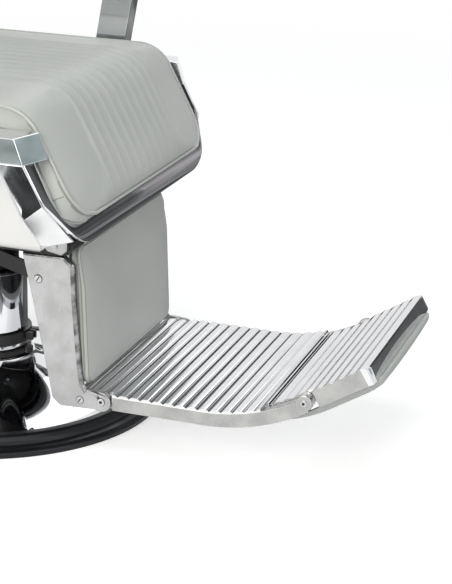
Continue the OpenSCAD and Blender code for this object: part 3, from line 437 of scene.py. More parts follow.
def settle(bm, name, body, finish, sharp=40, replaced=None):
    bmesh.ops.recalc_face_normals(bm, faces=bm.faces)
    for face in bm.faces:
        face.smooth = True
    for edge in bm.edges:
        edge.smooth = len(edge.link_faces) == 2 and edge.calc_face_angle(0) <= math.radians(sharp)
    piece = put(name, meshOf(bm, name))
    weights = piece.modifiers.new("flat", "WEIGHTED_NORMAL")  # the larger faces mirror as flat
    weights.keep_sharp, weights.weight = True, 80
    bake(piece)
    return place(piece, body, finish, replaced)


def bevel(bm, edges, width, segments):  # marks its faces for edge wear and, on the satin castings, for a painted dark reflection
    mark = bm.loops.layers.float.get("edgeNear") or bm.loops.layers.float.new("edgeNear")
    made = bmesh.ops.bevel(bm, geom=edges, offset=width * 0.001, segments=segments, profile=0.5, affect="EDGES",
                           material=-1, clamp_overlap=False)
    for face in made["faces"]:
        for loop in face.loops:
            loop[mark] = 1.0


def bevelSharp(bm, width, segments, angle=30):
    turn = math.radians(angle)
    bevel(bm, [e for e in bm.edges if len(e.link_faces) == 2 and e.calc_face_angle(0) > turn], width, segments)


def pull(bm, faces, step):
    made = bmesh.ops.extrude_face_region(bm, geom=faces)
    bmesh.ops.translate(bm, verts=[v for v in made["geom"] if isinstance(v, bmesh.types.BMVert)], vec=step)


def extrudeOutline(bm, outline, x0, x1):  # outline of [forward, height] pulled across from x0 to x1
    pull(bm, [bm.faces.new([bm.verts.new(at(x0, f, z)) for f, z in outline])], ((x1 - x0) * 0.001, 0, 0))


def slicePlane(bm, spot, normal, **clear):
    return bmesh.ops.bisect_plane(bm, geom=bm.verts[:] + bm.edges[:] + bm.faces[:], plane_co=spot, plane_no=normal,
                                  **clear)


def roundBar(bm, forward, height, radius, x0, x1, segments=40):
    turn = Matrix.Rotation(math.pi / 2, 4, "Y")
    middle = Matrix.Translation(at((x0 + x1) / 2, forward, height))
    bmesh.ops.create_cone(bm, cap_ends=True, segments=segments, radius1=radius * 0.001, radius2=radius * 0.001,
                          depth=abs(x1 - x0) * 0.001, matrix=middle @ turn)


def spunPiece(name, profile, finish, replaced):  # profile of [radius, height] turned round Z
    bm = bmesh.new()
    verts = [bm.verts.new((r * 0.001, 0, z * 0.001)) for r, z in profile]
    edges = [bm.edges.new((v, verts[(i + 1) % len(verts)])) for i, v in enumerate(verts)]
    bmesh.ops.spin(bm, geom=verts + edges, cent=(0, 0, 0), axis=(0, 0, 1), angle=2 * math.pi, steps=160,
                   use_merge=True)
    bmesh.ops.remove_doubles(bm, verts=bm.verts, dist=1e-6)
    return settle(bm, name, "base", finish, 50, replaced)


def pieceName(name):
    words = name.split("_")
    return words[0] + "".join(w.title() for w in words[1:])


def mergedCopy(name):
    bm = bmesh.new()
    bm.from_mesh(nodes[name].data)
    bmesh.ops.remove_doubles(bm, verts=bm.verts, dist=2e-6)
    bmesh.ops.dissolve_limit(bm, angle_limit=math.radians(0.6), verts=bm.verts, edges=bm.edges)
    return bm


def roundedPath(points, step=4):  # points of [x, y, radius] joined by arcs
    made = []
    for i, (x, y, r) in enumerate(points):
        corner = Vector((x, y))
        if r == 0:
            made.append(corner)
            continue
        a = (Vector(points[i - 1][:2]) - corner).normalized()
        b = (Vector(points[(i + 1) % len(points)][:2]) - corner).normalized()
        half = a.angle(b) / 2
        middle = corner + (a + b).normalized() * r / math.sin(half)
        first, last = corner + a * r / math.tan(half) - middle, corner + b * r / math.tan(half) - middle
        turn = math.atan2(first.x * last.y - first.y * last.x, first.dot(last))
        steps = max(2, round(abs(math.degrees(turn)) / step))
        made += [middle + Matrix.Rotation(turn * k / steps, 2) @ first for k in range(steps + 1)]
    return made


# Padding: a boxed form, swelled as cloth, then its seams

cloth = {"pressure": 4.0, "stiffness": 20, "bending": 1.5, "quality": 5, "frames": 20}
gridKeys = ("across", "along", "level")


def gridBox(cuts):  # a box cut into a grid, with its place in the grid kept on each point
    bm = bmesh.new()
    bmesh.ops.create_cube(bm, size=2)
    for axis, count in enumerate(cuts):
        along = [e for e in bm.edges if abs((e.verts[0].co - e.verts[1].co)[axis]) > 1e-6]
        bmesh.ops.subdivide_edges(bm, edges=along, cuts=count - 1, use_grid_fill=True)
    layers = [bm.verts.layers.float.new(key) for key in gridKeys]
    for v in bm.verts:
        for layer, value in zip(layers, v.co):
            v[layer] = value
    return bm


def gridPlaces(bm):  # each point with its place: across from -1 to 1, along and level from 0 to 1
    layers = [bm.verts.layers.float.get(key) for key in gridKeys]
    for v in bm.verts:
        a, b, c = (v[layer] for layer in layers)
        yield v, a, (b + 1) / 2, (c + 1) / 2


def swell(piece, held, cap):  # cloth under pressure, its held points fixed
    group = piece.vertex_groups.new(name="held")
    group.add(held, 1.0, "REPLACE")
    start = [v.co.copy() for v in piece.data.vertices]
    blown = piece.modifiers.new("swell", "CLOTH")
    values = blown.settings
    values.quality = cloth["quality"]
    values.use_pressure = True
    values.uniform_pressure_force = cloth["pressure"]
    values.vertex_group_mass = "held"
    values.effector_weights.gravity = 0
    values.tension_stiffness = values.compression_stiffness = cloth["stiffness"]
    values.bending_stiffness = cloth["bending"]
    blown.point_cache.frame_start, blown.point_cache.frame_end = 1, cloth["frames"]
    for step in range(1, cloth["frames"] + 1):
        scene.frame_set(step)
    moved = [v.co.copy() for v in piece.evaluated_get(bpy.context.evaluated_depsgraph_get()).data.vertices]
    piece.modifiers.remove(blown)
    piece.vertex_groups.remove(group)
    for v, old, new in zip(piece.data.vertices, start, moved):
        step = new - old
        if step.length > cap:
            step *= cap / step.length
        v.co = old + step
    scene.frame_set(1)


def makePad(name, body, grid, shape, seams, isHeld, form, replaced):
    # shape gives a point of the form; seams gives how far it is drawn in, its seam mark and up to two distances
    # from lines that cross the grid
    bm = gridBox(grid)
    held = []
    bm.verts.index_update()
    for v, a, b, c in gridPlaces(bm):
        v.co = shape(a, b, c)
        if isHeld(a, b, c):
            held.append(v.index)
    bmesh.ops.recalc_face_normals(bm, faces=bm.faces)
    piece = put(name, meshOf(bm, name))
    swell(piece, held, form["cap"] * 0.001)
    finer = piece.modifiers.new("finer", "SUBSURF")
    finer.levels = finer.render_levels = 1
    bake(piece)
    bm = bmesh.new()
    bm.from_mesh(piece.data)
    floats = bm.verts.layers.float
    near, *crossings = (floats.new(key) for key in ("seamNear", "seamStrip", "seamCross"))
    bm.normal_update()
    moves = []
    for v, a, b, c in gridPlaces(bm):
        depth, v[near], *signed = seams(a, b, c, v.co)
        for layer, off in zip(crossings, signed):
            v[layer] = min(2, max(0, 1 + off / 10))
        moves.append(v.normal * -depth * 0.001)
    for v, move in zip(bm.verts, moves):
        v.co += move
    for key in gridKeys:
        floats.remove(floats.get(key))
    for face in bm.faces:
        face.smooth = True
    bm.to_mesh(piece.data)
    bm.free()
    place(piece, body, "covering", replaced)
    print(name + ":", len(piece.data.polygons), "faces")


def welt(name, shape, body, side, front, rear):  # piping round the top edge, with its steps along each side
    loop = [(-1, i / side) for i in range(side + 1)] + [(lerp(-1, 1, i / front), 1) for i in range(1, front)]
    loop += [(1, 1 - i / side) for i in range(side + 1)] + [(lerp(1, -1, i / rear), 0) for i in range(1, rear)]
    curve = bpy.data.curves.new(name, "CURVE")
    curve.dimensions = "3D"
    curve.bevel_depth = 0.0031
    curve.bevel_resolution = 3
    spline = curve.splines.new("POLY")
    spline.points.add(len(loop) - 1)
    for target, (a, b) in zip(spline.points, loop):
        target.co = (*shape(a, b, 1.0), 1)
    spline.use_cyclic_u = True
    holder = put(name, curve)
    mesh = evaluatedMesh(holder)
    bpy.data.objects.remove(holder)
    mesh.name = name
    for face in mesh.polygons:
        face.use_smooth = True
    place(put(name, mesh), body, "covering")


def dome(gap, roll):  # height of a rolled edge, from 0 at its foot to 1
    return math.sqrt(max(0, 1 - (1 - min(1, max(0, gap / roll))) ** 2))


def rollOff(t):  # 1 over the middle, falling to 0 where t is 1
    return max(0, 1 - t ** 4) ** 0.6


def rimHeld(a, b, c):
    return c < 0.01 or (c > 0.99 and (abs(a) > 0.999 or b > 0.999 or b < 0.001))


def baseHeld(a, b, c):
    return c < 0.01


# Sewn channels of the seat and the back

channels = {"width": 30, "count": 10}
seamReach = channels["width"] * channels["count"] / 2


def channelAcross(a, w, split):  # the channels keep their width, the rest takes what is left
    if abs(a) <= split:
        return a / split * seamReach
    return math.copysign(lerp(seamReach, w, (abs(a) - split) / (1 - split)), a)


def channelHeld(a, b, c, x):
    off = abs(x / channels["width"] - round(x / channels["width"]))
    return rimHeld(a, b, c) or (c > 0.99 and abs(x) < seamReach + 1 and off < 0.02)


def channelSeam(x, fade, form):
    if abs(x) > seamReach + channels["width"] / 2:
        return 0, 0
    off = abs(x / channels["width"] - round(x / channels["width"])) * 2
    inside = 1 if abs(x) < seamReach else 1 - (abs(x) - seamReach) / (channels["width"] / 2)
    puff = form["puff"] * math.sin(math.pi * min(1, off * 1.1) / 2) * inside
    mark = max(0, form["mark"] - off * form["thin"]) if abs(x) < seamReach + 1 else 0
    depth = form["dip"] * (1 - off) ** form["narrow"] - puff
    return depth * (0.25 + 0.75 * fade), mark * lerp(form["faint"], 1, fade)


# Seat cushion

seatForm = {
    "high": 590, "halfWidth": 280, "lowWelt": (289, 423), "back": 212, "slope": 61.6, "bend": 67, "board": 470,
    "knee": 52, "lip": (269, 408), "corner": 60, "lowCorner": 34, "flare": 15, "crown": 15, "belly": 5, "welt": 4.3,
    "cap": 2.2, "fill": 0.8, "split": 20 / 37, "dip": 2.0, "narrow": 3.5, "puff": 0.7, "mark": 0.88, "thin": 7,
    "faint": 0.3, "strip": 33, "frontStrip": 13, "joint": (241, 454), "slant": 0.37,
}
seatHigh, seatBend, seatBack = seatForm["high"], seatForm["bend"], seatForm["back"]
slope = math.radians(seatForm["slope"])
slopeLength = (seatHigh - seatBend * (1 - math.cos(slope)) - seatForm["lowWelt"][1]) / math.sin(slope)
bendStart = seatForm["lowWelt"][0] - slopeLength * math.cos(slope) - seatBend * math.sin(slope)
flatLength, bendLength = bendStart + seatBack, seatBend * slope
seatLength = flatLength + bendLength + slopeLength


def seatTop(u):  # forward, height and angle of the top outline
    if u < flatLength:
        return u - seatBack, seatHigh, 0
    angle = min(slope, (u - flatLength) / seatBend)
    rest = max(0, u - flatLength - bendLength)
    return (bendStart + seatBend * math.sin(angle) + rest * math.cos(slope),
            seatHigh - seatBend * (1 - math.cos(angle)) - rest * math.sin(slope), angle)


def seatUnder(u):
    knee, board, clear = bendStart + seatForm["knee"], seatForm["board"], 0.3
    if u < flatLength:
        return u - seatBack, board + clear
    if u < flatLength + bendLength:
        return lerp(bendStart, knee, (u - flatLength) / bendLength), board + clear
    t = (u - flatLength - bendLength) / slopeLength
    return lerp(knee, seatForm["lip"][0], t), lerp(board, seatForm["lip"][1], t) + clear


def seatHalf(u, corner=seatForm["corner"]):
    k = max(0, u - (seatLength - corner)) / corner
    return seatForm["halfWidth"] - corner * (1 - math.sqrt(max(0, 1 - k * k)))


def seatShape(a, b, c):
    u = b * seatLength
    forward, height, angle = seatTop(u)
    lowForward, lowHeight = seatUnder(u)
    f, z = lerp(lowForward, forward, c), lerp(lowHeight, height, c)
    bulge = 4 * c * (1 - c) * seatForm["belly"]
    flare = seatForm["flare"] * (1 - c) ** 0.6 * smoothStep(514, 462, z) * smoothStep(400, 455, u)
    w = lerp(seatHalf(u, seatForm["lowCorner"]), seatHalf(u), c) + bulge + flare
    x = channelAcross(a, w, seatForm["split"])
    if c > 0.999:
        rise = seatForm["crown"] * rollOff(abs(x) / w) * rollOff(1 - min(seatLength - u, 90) / 90)
        rise *= 0.3 + 0.7 * smoothStep(0, 60, u)
        return at(x, forward + rise * math.sin(angle), height + rise * math.cos(angle))
    if b > 0.999:
        f += bulge * 0.5 * math.cos(angle * 0.6)
        z -= bulge * 0.25
    return at(x, f, z)


def seatHeld(a, b, c):
    return channelHeld(a, b, c, channelAcross(a, seatHalf(b * seatLength), seatForm["split"]))


def seatSeams(a, b, c, point):
    form, u = seatForm, b * seatLength
    if c < 0.985:
        below = (1 - c) * (Vector(seatTop(u)[:2]) - Vector(seatUnder(u))).length
        if below < form["welt"] and (abs(a) > 0.995 or b > 0.995 or b < 0.005):
            return 0.5, 1.0
        off = below - lerp(form["strip"], form["frontStrip"], smoothStep(530, 590, u))
        across = 10
        if u > 480 and abs(a) > 0.995:
            across = point.z * 1000 - form["joint"][1] - form["slant"] * (-point.y * 1000 - form["joint"][0])
        depth = 1.3 * max(0, 1 - abs(off) / 6) + 0.5 * max(0, 1 - abs(across) / 3)
        return depth, 0, off, across
    w = seatHalf(u)
    x = channelAcross(a, w, form["split"])
    if min(w - abs(x), u, seatLength - u) < form["welt"]:
        return 0.8, 1.0
    return channelSeam(x, smoothStep(10, 90, seatLength - u), form)


makePad("seatCushion", "seat", (74, 76, 12), seatShape, seatSeams, seatHeld, seatForm, "seat_cushion")
welt("seatPiping", seatShape, "seat", 90, 60, 40)


# Calf pad and its boards

calfForm = {"back": 246.3, "low": 119, "high": 348.5, "halfWidth": 184.5, "edge": 11, "pillow": 9.5, "roll": 62,
            "lean": 0.044, "level": 193, "belly": 1.5, "corner": 18, "cap": 2.0, "fill": 0.7}


def leanAt(z):
    return calfForm["lean"] * (calfForm["level"] - z)


def pastSides(x, z, form):  # how far x and z, from the middle of a rounded outline, are past its straight sides
    halfHeight = (form["high"] - form["low"]) / 2
    return abs(x) - (form["halfWidth"] - form["corner"]), abs(z) - (halfHeight - form["corner"])


def edgeGap(x, z, form):  # distance in from a rounded outline
    dx, dz = pastSides(x, z - (form["high"] + form["low"]) / 2, form)
    return form["corner"] - (math.hypot(dx, dz) if dx > 0 and dz > 0 else max(dx, dz))


def padOutline(a, t, form):  # a rounded rectangle: where the place (a, t) of a square goes, and its gap to the edge
    halfHeight = (form["high"] - form["low"]) / 2
    x, z = a * form["halfWidth"], (2 * t - 1) * halfHeight
    dx, dz = pastSides(x, z, form)
    if dx > 0 and dz > 0:
        drawn = max(dx, dz) / math.hypot(dx, dz)
        x = math.copysign(form["halfWidth"] - form["corner"] + dx * drawn, x)
        z = math.copysign(halfHeight - form["corner"] + dz * drawn, z)
    z += form["low"] + halfHeight
    return x, z, edgeGap(x, z, form)


def calfShape(a, b, c):
    form = calfForm
    x, z, gap = padOutline(a, b, form)
    pillow = math.sqrt(max(0, 1 - (1 - min(1, gap / form["roll"])) ** 2.4))
    top = form["edge"] * lerp(0.42, 1, smoothStep(0, 75, form["high"] - z)) + form["pillow"] * pillow
    if gap < 0.01:  # the edge strip draws in a little at the board and at the welt
        middle = (form["low"] + form["high"]) / 2
        bulge = 1 + form["belly"] * 4 * c * (1 - c) / 100
        x, z = x * bulge, middle + (z - middle) * bulge
    return at(x, form["back"] + leanAt(z) + top * c, z)


def calfSeams(a, b, c, point):
    form = calfForm
    x, z, gap = padOutline(a, b, form)
    if c > 0.99:  # the face: a line at its edge, and small puckers that run in from it
        corner = smoothStep(70, 0, math.hypot(form["halfWidth"] - abs(x), form["high"] - z))
        pucker = noise.noise(Vector((x * 0.16, z * 0.16, 3.0))) * max(0, 1 - gap / 22) * (0.2 + corner)
        return 0.7 * max(0, 1 - gap / 4) + pucker, 0, 0.4 * form["edge"] + gap, gap - 1
    off = (c - 0.6) * form["edge"]  # the edge strip: a second line, and a roll between the two
    roll = math.sin(math.pi * min(1, max(0, (c - 0.6) / 0.4)))
    return 0.8 * max(0, 1 - abs(off) / 1.5) - 0.9 * roll, 0, off, (c - 1) * form["edge"] - 1


makePad("calfPad", "footrest", (74, 46, 5), calfShape, calfSeams, rimHeld, calfForm, "calf_pad")

boardForm = {"back": 236.2, "front": 246.3, "low": 119.5, "high": 347, "halfWidth": 184, "corner": 19, "edge": 2.5}
dustForm = {"back": 235.1, "front": 236.2, "low": 134, "high": 330, "halfWidth": 172, "corner": 12, "edge": 0.4}


def makePanel(name, finish, form, replaced=None):  # a flat board with rounded corners and eased edges, facing forward
    w, low, high, corner = (form[k] for k in ("halfWidth", "low", "high", "corner"))
    outline = roundedPath([(-w, low, corner), (w, low, corner), (w, high, corner), (-w, high, corner)], 12)
    bm = bmesh.new()
    face = bm.faces.new([bm.verts.new(at(p.x, form["back"], p.y)) for p in outline])
    pull(bm, [face], (0, (form["back"] - form["front"]) * 0.001, 0))
    bmesh.ops.recalc_face_normals(bm, faces=bm.faces)
    bevelSharp(bm, form["edge"], 2, 50)
    for v in bm.verts:  # it leans back with the pad
        v.co.y -= leanAt(v.co.z * 1000) * 0.001
    settle(bm, name, "footrest", finish, 50, replaced)


makePanel("calfBoardCover", "covering", boardForm, "calf_board")
makePanel("calfDustCover", "black", dustForm)


# Footplate and toe flap

footForm = {"heelPivot": (287, 97), "heel": 306, "height": 113, "flat": 154, "bendRadius": 302, "tilt": 32,
            "pitch": 19.5, "rib": 4, "crown": 3.0, "wave": 1.9, "samples": 16, "deck": 9, "deckLength": 252,
            "flapStart": 257, "flapLength": 186, "flapPivot": (322.7, -12), "flapThick": 30, "toeCorner": 11,
            "lug": 13, "flange": 19, "flangeDrop": 28, "halfWidth": 195, "heelPlate": 10.4, "cheek": 2.2, "ease": 1.4,
            "cheekEase": 1.2}
flapStart, flapEnd = footForm["flapStart"], footForm["flapStart"] + footForm["flapLength"]
footHalf, footPitch = footForm["halfWidth"], footForm["pitch"]


def deckPoint(s, h):  # s along the ribbed face, h above it
    flat, radius = footForm["flat"], footForm["bendRadius"]
    if s < flat:
        return footForm["heel"] + s, footForm["height"] + h
    a = min((s - flat) / radius, math.radians(footForm["tilt"]))
    rest, r = s - flat - a * radius, radius - h
    return (footForm["heel"] + flat + r * math.sin(a) + rest * math.cos(a),
            footForm["height"] + radius - r * math.cos(a) + rest * math.sin(a))


def ribAt(s):  # broad crowns with narrow grooves between them
    return -footForm["rib"] * abs(2 * (s / footPitch - round(s / footPitch))) ** footForm["crown"]


def softRibAt(s):  # the flap's are shallow waves
    return -footForm["wave"] * math.sin(math.pi * s / footPitch) ** 2


def ribbed(s0, s1, rib):
    count = max(2, round((s1 - s0) / (footPitch / footForm["samples"])))
    return [deckPoint(s, rib(s)) for s in (lerp(s0, s1, i / count) for i in range(count + 1))]


def underside(s0, s1, h, count=28):
    return [deckPoint(lerp(s1, s0, i / count), h) for i in range(count + 1)]


def makeFootplate():
    form = footForm
    rib, drop = form["rib"], form["flangeDrop"]
    low, length = -form["deck"] - rib, form["deckLength"]
    (heelF, heelZ), pivot, lug = form["heelPivot"], form["flapPivot"], form["lug"]
    bm = bmesh.new()
    extrudeOutline(bm, ribbed(0, length, ribAt) + underside(0, length, low), -footHalf + 0.3, footHalf - 0.3)
    heel = -3 * footPitch  # three ribs run back between the heel lugs
    extrudeOutline(bm, ribbed(heel, 1, ribAt) + underside(heel, 1, low, 6), -footHalf + 9, footHalf - 9)
    casting = bmesh.new()
    for side in (-1, 1):
        inner, outer = side * (footHalf - form["flange"]), side * footHalf
        outline = [deckPoint(lerp(0, pivot[0], i / 30), -rib) for i in range(31)]
        outline += [deckPoint(pivot[0], -drop)] + underside(0, pivot[0] - 20, -drop)
        extrudeOutline(casting, outline, inner, outer)
        roundBar(casting, *deckPoint(*pivot), lug, inner, side * (footHalf + 0.3))
        ends = (inner, side * (footHalf - form["flange"] + form["heelPlate"]))
        front, top = form["heel"] + 12, form["height"]
        arm = [(heelF, heelZ + lug), (front, top - rib), (front, top - drop), (heelF, heelZ - lug)]
        extrudeOutline(casting, arm, *ends)
        roundBar(casting, heelF, heelZ, lug, *ends)
    bmesh.ops.recalc_face_normals(casting, faces=casting.faces)
    bevelSharp(casting, form["ease"], 3, 40)
    settle(casting, "footplateFlanges", "footplate", "flange", 38)
    settle(bm, "footplateRibs", "footplate", "polished", 38, "footplate")


def roundToe(bm, wide, radius, tip, before):  # the two corners at the toe are brought round
    run = (Vector(tip) - Vector(before)).normalized()
    for k in range(8):
        inset = radius * (1 - math.tan(math.radians(45 * (7 - k) / 7))) if k else radius
        for hand in (-1, 1):
            slicePlane(bm, (hand * (wide - inset) * 0.001, 0, 0), (1, 0, 0))
    for v in bm.verts:
        u = abs(v.co.x) * 1000 - wide + radius
        w = radius - (Vector(tip) - Vector((-v.co.y, v.co.z)) * 1000).dot(run)
        if u > 0 and w > 0:
            drawn = max(u, w) / math.hypot(u, w) - 1
            v.co += at(math.copysign(u * drawn, v.co.x), w * drawn * run.x, w * drawn * run.y)


def makeToeFlap():
    form = footForm
    inner, wide, low = footHalf - form["flange"] - 1.5, footHalf - 9, -form["flapThick"]
    start, end, cheek = flapStart, flapEnd, form["cheek"]
    broad, neck = form["flapPivot"][0] + form["lug"] + 4, end - form["toeCorner"] - 2
    bm = bmesh.new()
    bar = [(start, 0), (start + 3.2, 0), (start + 3.4, -7), (start + 5, -7)]  # a narrow bar, then a slot across
    top = [deckPoint(s, h) for s, h in bar] + ribbed(start + 5.2, broad + 6, softRibAt)
    extrudeOutline(bm, top + underside(start, broad + 6, low), -inner, inner)
    side = ribbed(broad, neck, softRibAt) + underside(broad, neck, low)
    extrudeOutline(bm, side, -wide + cheek, wide - cheek)
    toe = ribbed(neck - 1, end - 6, softRibAt)
    toe += [deckPoint(end - back, h) for back, h in ((1.5, -3.4), (0, -7), (2, low))]
    extrudeOutline(bm, toe + underside(neck - 1, end - 6, low, 6), -wide + 0.1, wide - 0.1)
    roundToe(bm, wide - 0.1, form["toeCorner"], deckPoint(end, 0), deckPoint(end - 10, 0))
    settle(bm, "toeFlapRibs", "flap", "polished", 38, "toe_flap")
    cheeks = bmesh.new()
    for hand in (-1, 1):
        extrudeOutline(cheeks, side, hand * (wide - cheek), hand * wide)
    bmesh.ops.recalc_face_normals(cheeks, faces=cheeks.faces)
    rims = [e for e in cheeks.edges if all(abs(abs(v.co.x) - wide * 0.001) < 1e-6 for v in e.verts)
            and abs(e.verts[0].co.x - e.verts[1].co.x) < 1e-7]
    bevel(cheeks, rims, form["cheekEase"], 2)
    settle(cheeks, "toeFlapCheeks", "flap", "flange", 38)
    studs, screwShadeDiscs = bmesh.new(), bmesh.new()
    pivot = deckPoint(*form["flapPivot"])
    for hand in (-1, 1):
        roundBar(studs, *pivot, 5, hand * (inner - 4), hand * (footHalf - 0.5))
        screwHead(studs, screwShadeDiscs, pivot, hand, footHalf + 0.1, 5.4, False)
    settle(studs, "flapPivotScrews", "flap", "zinc", 30)
    settle(screwShadeDiscs, "flapScrewGaps", "flap", "black", 30)


def disc(bm, segments, radius, height):
    bmesh.ops.create_circle(bm, cap_ends=True, cap_tris=False, segments=segments, radius=radius * 0.001)
    pull(bm, bm.faces[:], (0, 0, height * 0.001))


def addTurned(whole, part, turn):
    bmesh.ops.transform(part, verts=part.verts, matrix=turn)
    spare = meshOf(part, "spare")
    whole.from_mesh(spare)
    bpy.data.meshes.remove(spare)


def screwHead(bm, screwShadeDiscs, centre, side, x, radius, slotted):  # a head with its drive sunk in; black pieces paint the shade of the gap round the head and of the drive's recess
    turn = Matrix.Rotation(0.6, 4, "X") @ Matrix.Rotation(side * math.pi / 2, 4, "Y")
    turn = Matrix.Translation(at(side * x, *centre)) @ turn
    head = bmesh.new()
    disc(head, 36, radius, 1.2)
    crown = max(head.faces, key=lambda f: (round(f.calc_center_median().z, 6), f.normal.z, -f.calc_area()))
    bmesh.ops.inset_region(head, faces=[crown], thickness=0.0008, depth=0.0006)
    addTurned(bm, head, turn)
    # a black disc a little wider than the head, standing just proud of the face: painted shade of the gap round the
    # head
    roundBar(screwShadeDiscs, *centre, radius + 0.8, side * (x - 1), side * (x + 0.15), 36)
    driveShade = bmesh.new()  # a black insert in the drive: painted shade of its recess in the head
    if slotted:
        bmesh.ops.create_cube(driveShade, size=0.001)
        bmesh.ops.scale(driveShade, verts=driveShade.verts, vec=(radius * 1.5, radius * 0.26, 0.3))
    else:
        disc(driveShade, 6, radius * 0.48, 0.3)
    bmesh.ops.translate(driveShade, verts=driveShade.verts, vec=(0, 0, 0.0017))
    addTurned(screwShadeDiscs, driveShade, turn)


makeFootplate()
makeToeFlap()

screwForm = {"link": (178, 293, 6.6), "heel": (287, 97, 6.2), "stop": (250, 95, 6.2), "face": 195.1, "shank": 6}


def makeBracketScrews():
    bm, screwShadeDiscs, face = bmesh.new(), bmesh.new(), screwForm["face"]
    for side in (-1, 1):
        for key, slotted in (("link", True), ("heel", False), ("stop", True)):
            f, z, r = screwForm[key]
            screwHead(bm, screwShadeDiscs, (f, z), side, face, r, slotted)
        for key, inner in (("link", 169), ("heel", 173)):
            roundBar(bm, *screwForm[key][:2], screwForm["shank"], side * inner, side * (face - 0.5))
    settle(bm, "bracketScrews", "footrest", "zinc", 30, "bracket_screws")
    settle(screwShadeDiscs, "bracketScrewGaps", "footrest", "black", 30)


makeBracketScrews()
print("footplate, flap and screws done")


# Pad under the toe flap

flapForm = {"low": 256, "high": 448.5, "halfWidth": 179, "thick": 14, "roll": 14, "corner": 32, "crown": 2.0, "bow": 6,
            "lip": 8, "cap": 2.0, "fill": 0.7}


def flapShape(a, b, c):  # bowed at the toe, where it comes up a little way over the end of the flap
    form = flapForm
    x, s, gap = padOutline(a, b, form)
    top = form["thick"] * (0.25 + 0.75 * dome(gap, form["roll"])) + form["crown"] * smoothStep(form["roll"], 60, gap)
    top *= lerp(0.3, 1, smoothStep(form["low"] - 10, form["low"] + 90, s))
    middle, end = 1 - (x / form["halfWidth"]) ** 2, flapEnd + 0.8
    lip = form["lip"] * (0.3 + 0.7 * middle) * smoothStep(end, form["high"], s) * c
    s += form["bow"] * middle * smoothStep(end - 40, form["high"], s)
    return at(x, *deckPoint(s, lip - footForm["flapThick"] - 0.5 - top * (1 - c)))


def flapHeld(a, b, c):
    return c > 0.99


def flapSeams(a, b, c, point):
    if c > 0.1:
        return 0, 0
    s = lerp(flapForm["low"], flapForm["high"], b)
    off = abs(edgeGap(a * flapForm["halfWidth"], s, flapForm) - flapForm["roll"])
    return 1.6 * max(0, 1 - off / 6) ** 1.6, max(0, 1 - off / 3)


makePad("flapPad", "flap", (56, 36, 3), flapShape, flapSeams, flapHeld, flapForm, "flap_pad")


# Back cushion, headrest and arm pads

backForm = {"pivot": (-235, 498), "lean": 14, "foot": 100, "length": 500, "halfWidth": 256, "face": -20, "thick": 74.5,
            "crown": 14, "belly": 5, "cap": 5.0, "fill": 0.75, "split": 20 / 34, "dip": 2.6, "narrow": 2.2, "puff": 1.0,
            "mark": 1, "thin": 8, "faint": 0, "topRound": (60, 56), "footRound": (30, 30)}


def backPoint(x, p, q):  # p up the back from its pivot, q behind it
    lean = math.radians(backForm["lean"])
    return at(x, backForm["pivot"][0] - p * math.sin(lean) - q * math.cos(lean),
              backForm["pivot"][1] + p * math.cos(lean) - q * math.sin(lean))


def backHalf(b):
    s, half = b * backForm["length"], backForm["halfWidth"]
    for gap, (high, wide) in ((backForm["length"] - s, backForm["topRound"]), (s, backForm["footRound"])):
        half -= wide * (1 - math.sqrt(max(0, 1 - (max(0, high - gap) / high) ** 2)))
    return half


def backShape(a, b, c):
    form = backForm
    w, s = backHalf(b), b * form["length"]
    x, p = channelAcross(a, w, form["split"]), form["foot"] + s
    if c > 0.999:
        rise = form["crown"] * rollOff(abs(x) / w)
        for gap in (s, form["length"] - s):
            rise *= rollOff(1 - min(gap, 80) / 80)
        return backPoint(x, p, form["face"] - rise)
    bulge = 4 * c * (1 - c) * form["belly"]
    if abs(a) > 0.999:
        x = math.copysign(w + bulge, a)
    if b > 0.999 or b < 0.001:
        p += math.copysign(bulge * 0.3, b - 0.5)
    return backPoint(x, p, form["face"] + form["thick"] * (1 - c))


def backHeld(a, b, c):
    return channelHeld(a, b, c, channelAcross(a, backHalf(b), backForm["split"]))


def backSeams(a, b, c, point):
    if c < 0.985:
        return 0, 0
    s = b * backForm["length"]
    x = channelAcross(a, backHalf(b), backForm["split"])
    return channelSeam(x, smoothStep(8, 70, min(s, backForm["length"] - s)), backForm)


makePad("backCushion", "back", (68, 66, 9), backShape, backSeams, backHeld, backForm, "back_cushion")
welt("backPiping", backShape, "back", 80, 50, 50)


def sideSeam(height, depth):  # one seam round the middle of a pad's edge
    def seams(a, b, c, point):
        near = max(0, 1 - abs(c - 0.5) * height / 8) if 0.05 <= c <= 0.95 else 0
        return depth * near, near

    return seams


headForm = {"low": 660, "high": 790, "halfWidth": 126, "front": -22, "back": 27.5, "roll": 30, "corner": 26, "crown": 6,
            "cap": 4.0, "fill": 0.85}


def headShape(a, b, c):
    form = headForm
    x, p, gap = padOutline(a, b, form)
    front = (form["back"] - form["front"]) * (0.42 + 0.58 * dome(gap, form["roll"]))
    front += form["crown"] * smoothStep(form["roll"], 65, gap)
    return backPoint(x, p, form["back"] - front * c)


makePad("headrestCushion", "headrest", (44, 24, 8), headShape, sideSeam(40, 1.2), baseHeld, headForm,
        "headrest_cushion")

armForm = {"centre": 318, "halfWidth": 33, "low": -199, "high": 157, "seat": 745.3, "thick": 36, "roll": 27,
           "corner": 26, "cap": 1.5, "fill": 0.85}


def makeArmPad(side, name, replaced):
    form = armForm

    def armShape(a, b, c):
        x, f, gap = padOutline(a, b, form)
        top = form["thick"] * (0.36 + 0.64 * dome(gap, form["roll"]))
        return at(side * form["centre"] + x, f, form["seat"] + top * c)

    makePad(name, "seat", (16, 60, 6), armShape, sideSeam(30, 0.8), baseHeld, form, replaced)


hands = ((-1, "right"), (1, "left"))
for side, hand in hands:
    makeArmPad(side, hand + "ArmPad", hand + "_arm_pad")


# Chrome band round the front of the seat

